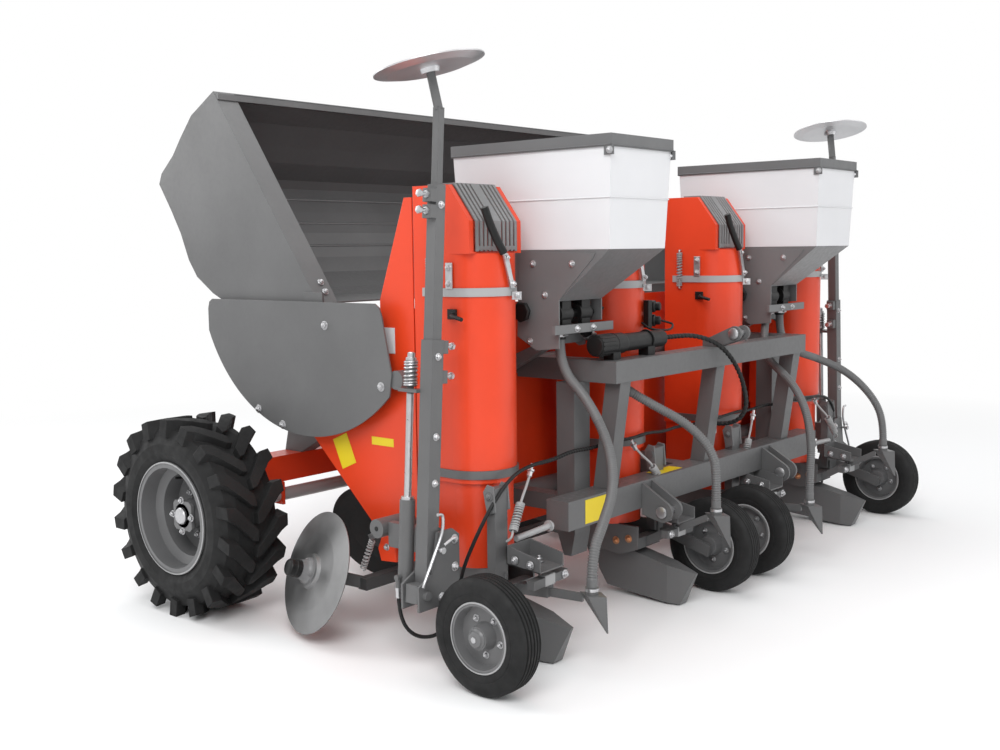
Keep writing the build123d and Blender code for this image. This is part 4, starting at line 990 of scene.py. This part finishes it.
def make_canister_trim():
    """Ridges on the canister's cap and the straps on its saddles."""
    ridges, straps = Batch(), Batch()
    for k in range(CAP_RIDGES):
        a = math.tau * k / CAP_RIDGES
        y, z = CANISTER_Y + CAP_R * math.cos(a), CANISTER_Z + CAP_R * math.sin(a)
        ridges.rod([(-752, y, z), (-672, y, z)], 2.4, 6)
    ridges.turned((-755, CANISTER_Y, CANISTER_Z), (-1, 0, 0), [(0, 34), (3, 31), (4, 24)], 28)
    for x in (-660.0, -445.0):
        arc = []
        for degrees in range(-30, 211, 20):
            a = math.radians(degrees)
            arc.append((x, CANISTER_Y + STRAP_R * math.cos(a), CANISTER_Z + STRAP_R * math.sin(a)))
        straps.rod(arc, 3.5, 6, 2)
    ridges.piece("canister_cap", BLACK, "frame", "black_plastic")
    straps.piece("canister_straps", BLACK_PAINT, "frame", "dark_paint")


def make_hopper_ribs():
    """Pressed ribs inside the tipping hopper and the bolts on its front flanges."""
    ribs, bolts = Batch(), Batch()
    for y, z in ((1000, 1534), (934, 1432), (884, 1336)):
        ribs.rod([(-1272, y, z), (1272, y, z)], 8.0, 10)
    for side in (-1, 1):
        for z in (1172, 1205):
            y = FLANGE_FOOT[0] + (z - FLANGE_FOOT[1]) * FLANGE_SLOPE
            bolts.bolt((side * FLANGE_X, y - 3, z), (0, -0.81, 0.58), 16)
    ribs.piece("hopper_ribs", GREY, "tipping_hopper", "grey_paint")
    bolts.piece("hopper_bolts", ZINC, "tipping_hopper", "zinc")


make_tank_trim()
make_valves()
make_canister_trim()
make_hopper_ribs()


# Blank labels and plates

TROUGH_END = -1250.3
LABEL_THICK = 0.8
LABELS = {  # corners, and the way that the label faces
    YELLOW: [
        ([(-836, -686.3, 392), (-690, -686.3, 392), (-690, -686.3, 474), (-836, -686.3, 474)], (0, -1, 0)),
        ([(-350, -670, 482.3), (-190, -670, 482.3), (-190, -612, 482.3), (-350, -612, 482.3)], (0, 0, 1)),
        ([(TROUGH_END, y, z) for y, z in ((-20, 590), (50, 560), (96, 660), (26, 690))], (-1, 0, 0)),
        ([(TROUGH_END, y, z) for y, z in ((-205, 662), (-100, 662), (-100, 690), (-205, 690))], (-1, 0, 0)),
    ],
    WHITE: [([(TROUGH_END, y, z) for y, z in ((-222, 975), (-150, 975), (-150, 1060), (-222, 1060))], (-1, 0, 0))],
}


def make_labels():
    for material, table in LABELS.items():
        batch = Batch()
        for outline, facing in table:
            batch.slab(outline, Vector(facing) * LABEL_THICK)
        name = "blank_labels_" + material.name.split()[1]
        batch.piece(name, material, "frame", "white_plastic")


make_labels()


# Studio

FLOOR_SIZE = 60.0
FLOOR_FADE_START = 2.2
FLOOR_FADE_STOP = 6.0
AMBIENT_STRENGTH = 0.55
LAMP_TARGET = Vector((0, 0, 0.8))
LAMPS = (  # name, place, size in metres, power
    ("key", (-5.6, -3.4, 5.2), 4.0, 330),
    ("fill", (3.0, -6.0, 3.0), 5.0, 80),
    ("top", (0.0, 1.0, 6.5), 5.0, 190),
    ("back", (-3.0, 5.5, 3.5), 4.0, 130),
)


def seen_ray(tree):
    """1 for the camera's, mirrored and transmitted rays, 0 for those that only light."""
    path = add(tree, "ShaderNodeLightPath")
    total = path.outputs["Is Camera Ray"]
    for name in ("Is Glossy Ray", "Is Transmission Ray"):
        either = add(tree, "ShaderNodeMath", operation="MAXIMUM")
        tree.links.new(total, either.inputs[0])
        tree.links.new(path.outputs[name], either.inputs[1])
        total = either.outputs[0]
    return total


def make_world():
    """A pale ambient light that the camera sees as white."""
    world = bpy.data.worlds.new("studio")
    bpy.context.scene.world = world
    world.use_nodes = True
    tree = world.node_tree
    ambient = tree.nodes["Background"]
    ambient.inputs["Color"].default_value = (0.96, 0.98, 1.0, 1)
    ambient.inputs["Strength"].default_value = AMBIENT_STRENGTH
    white = add(tree, "ShaderNodeBackground")
    white.inputs["Color"].default_value = (1, 1, 1, 1)
    mix = add(tree, "ShaderNodeMixShader")
    tree.links.new(seen_ray(tree), mix.inputs["Fac"])
    tree.links.new(ambient.outputs[0], mix.inputs[1])
    tree.links.new(white.outputs[0], mix.inputs[2])
    tree.links.new(mix.outputs[0], tree.nodes["World Output"].inputs["Surface"])


def make_floor():
    """A pale floor that fades to the white background away from the machine."""
    mesh = bpy.data.meshes.new("floor")
    half = FLOOR_SIZE / 2
    corners = [(-half, -half, 0), (half, -half, 0), (half, half, 0), (-half, half, 0)]
    mesh.from_pydata(corners, [], [(0, 1, 2, 3)])
    floor = bpy.data.objects.new("floor", mesh)
    bpy.context.scene.collection.objects.link(floor)
    material, tree, bsdf = shader("pale floor")
    bsdf.inputs["Base Color"].default_value = (0.92, 0.92, 0.92, 1)
    bsdf.inputs["Roughness"].default_value = 0.8
    glow = add(tree, "ShaderNodeEmission")
    glow.inputs["Color"].default_value = (1, 1, 1, 1)
    length = add(tree, "ShaderNodeVectorMath", operation="LENGTH")
    tree.links.new(coordinates(tree), length.inputs[0])
    fade = spread(tree, length.outputs["Value"], 0.0, 1.0, FLOOR_FADE_START, FLOOR_FADE_STOP)
    path = add(tree, "ShaderNodeLightPath")
    both = add(tree, "ShaderNodeMath", operation="MULTIPLY")
    tree.links.new(fade, both.inputs[0])
    tree.links.new(path.outputs["Is Camera Ray"], both.inputs[1])
    mix = add(tree, "ShaderNodeMixShader")
    tree.links.new(both.outputs[0], mix.inputs["Fac"])
    tree.links.new(bsdf.outputs[0], mix.inputs[1])
    tree.links.new(glow.outputs[0], mix.inputs[2])
    tree.links.new(mix.outputs[0], tree.nodes["Material Output"].inputs["Surface"])
    mesh.materials.append(material)


def make_area(name, at, size, power):
    """A soft square lamp that faces the machine's middle."""
    data = bpy.data.lights.new(name, "AREA")
    data.shape = "SQUARE"
    data.size = size
    data.energy = power
    lamp = bpy.data.objects.new(name, data)
    bpy.context.scene.collection.objects.link(lamp)
    lamp.location = at
    lamp.rotation_mode = "QUATERNION"
    lamp.rotation_quaternion = (LAMP_TARGET - Vector(at)).to_track_quat("-Z", "Y")


make_world()
make_floor()
for lamp_values in LAMPS:
    make_area(*lamp_values)

bpy.context.scene.view_settings.view_transform = "Standard"
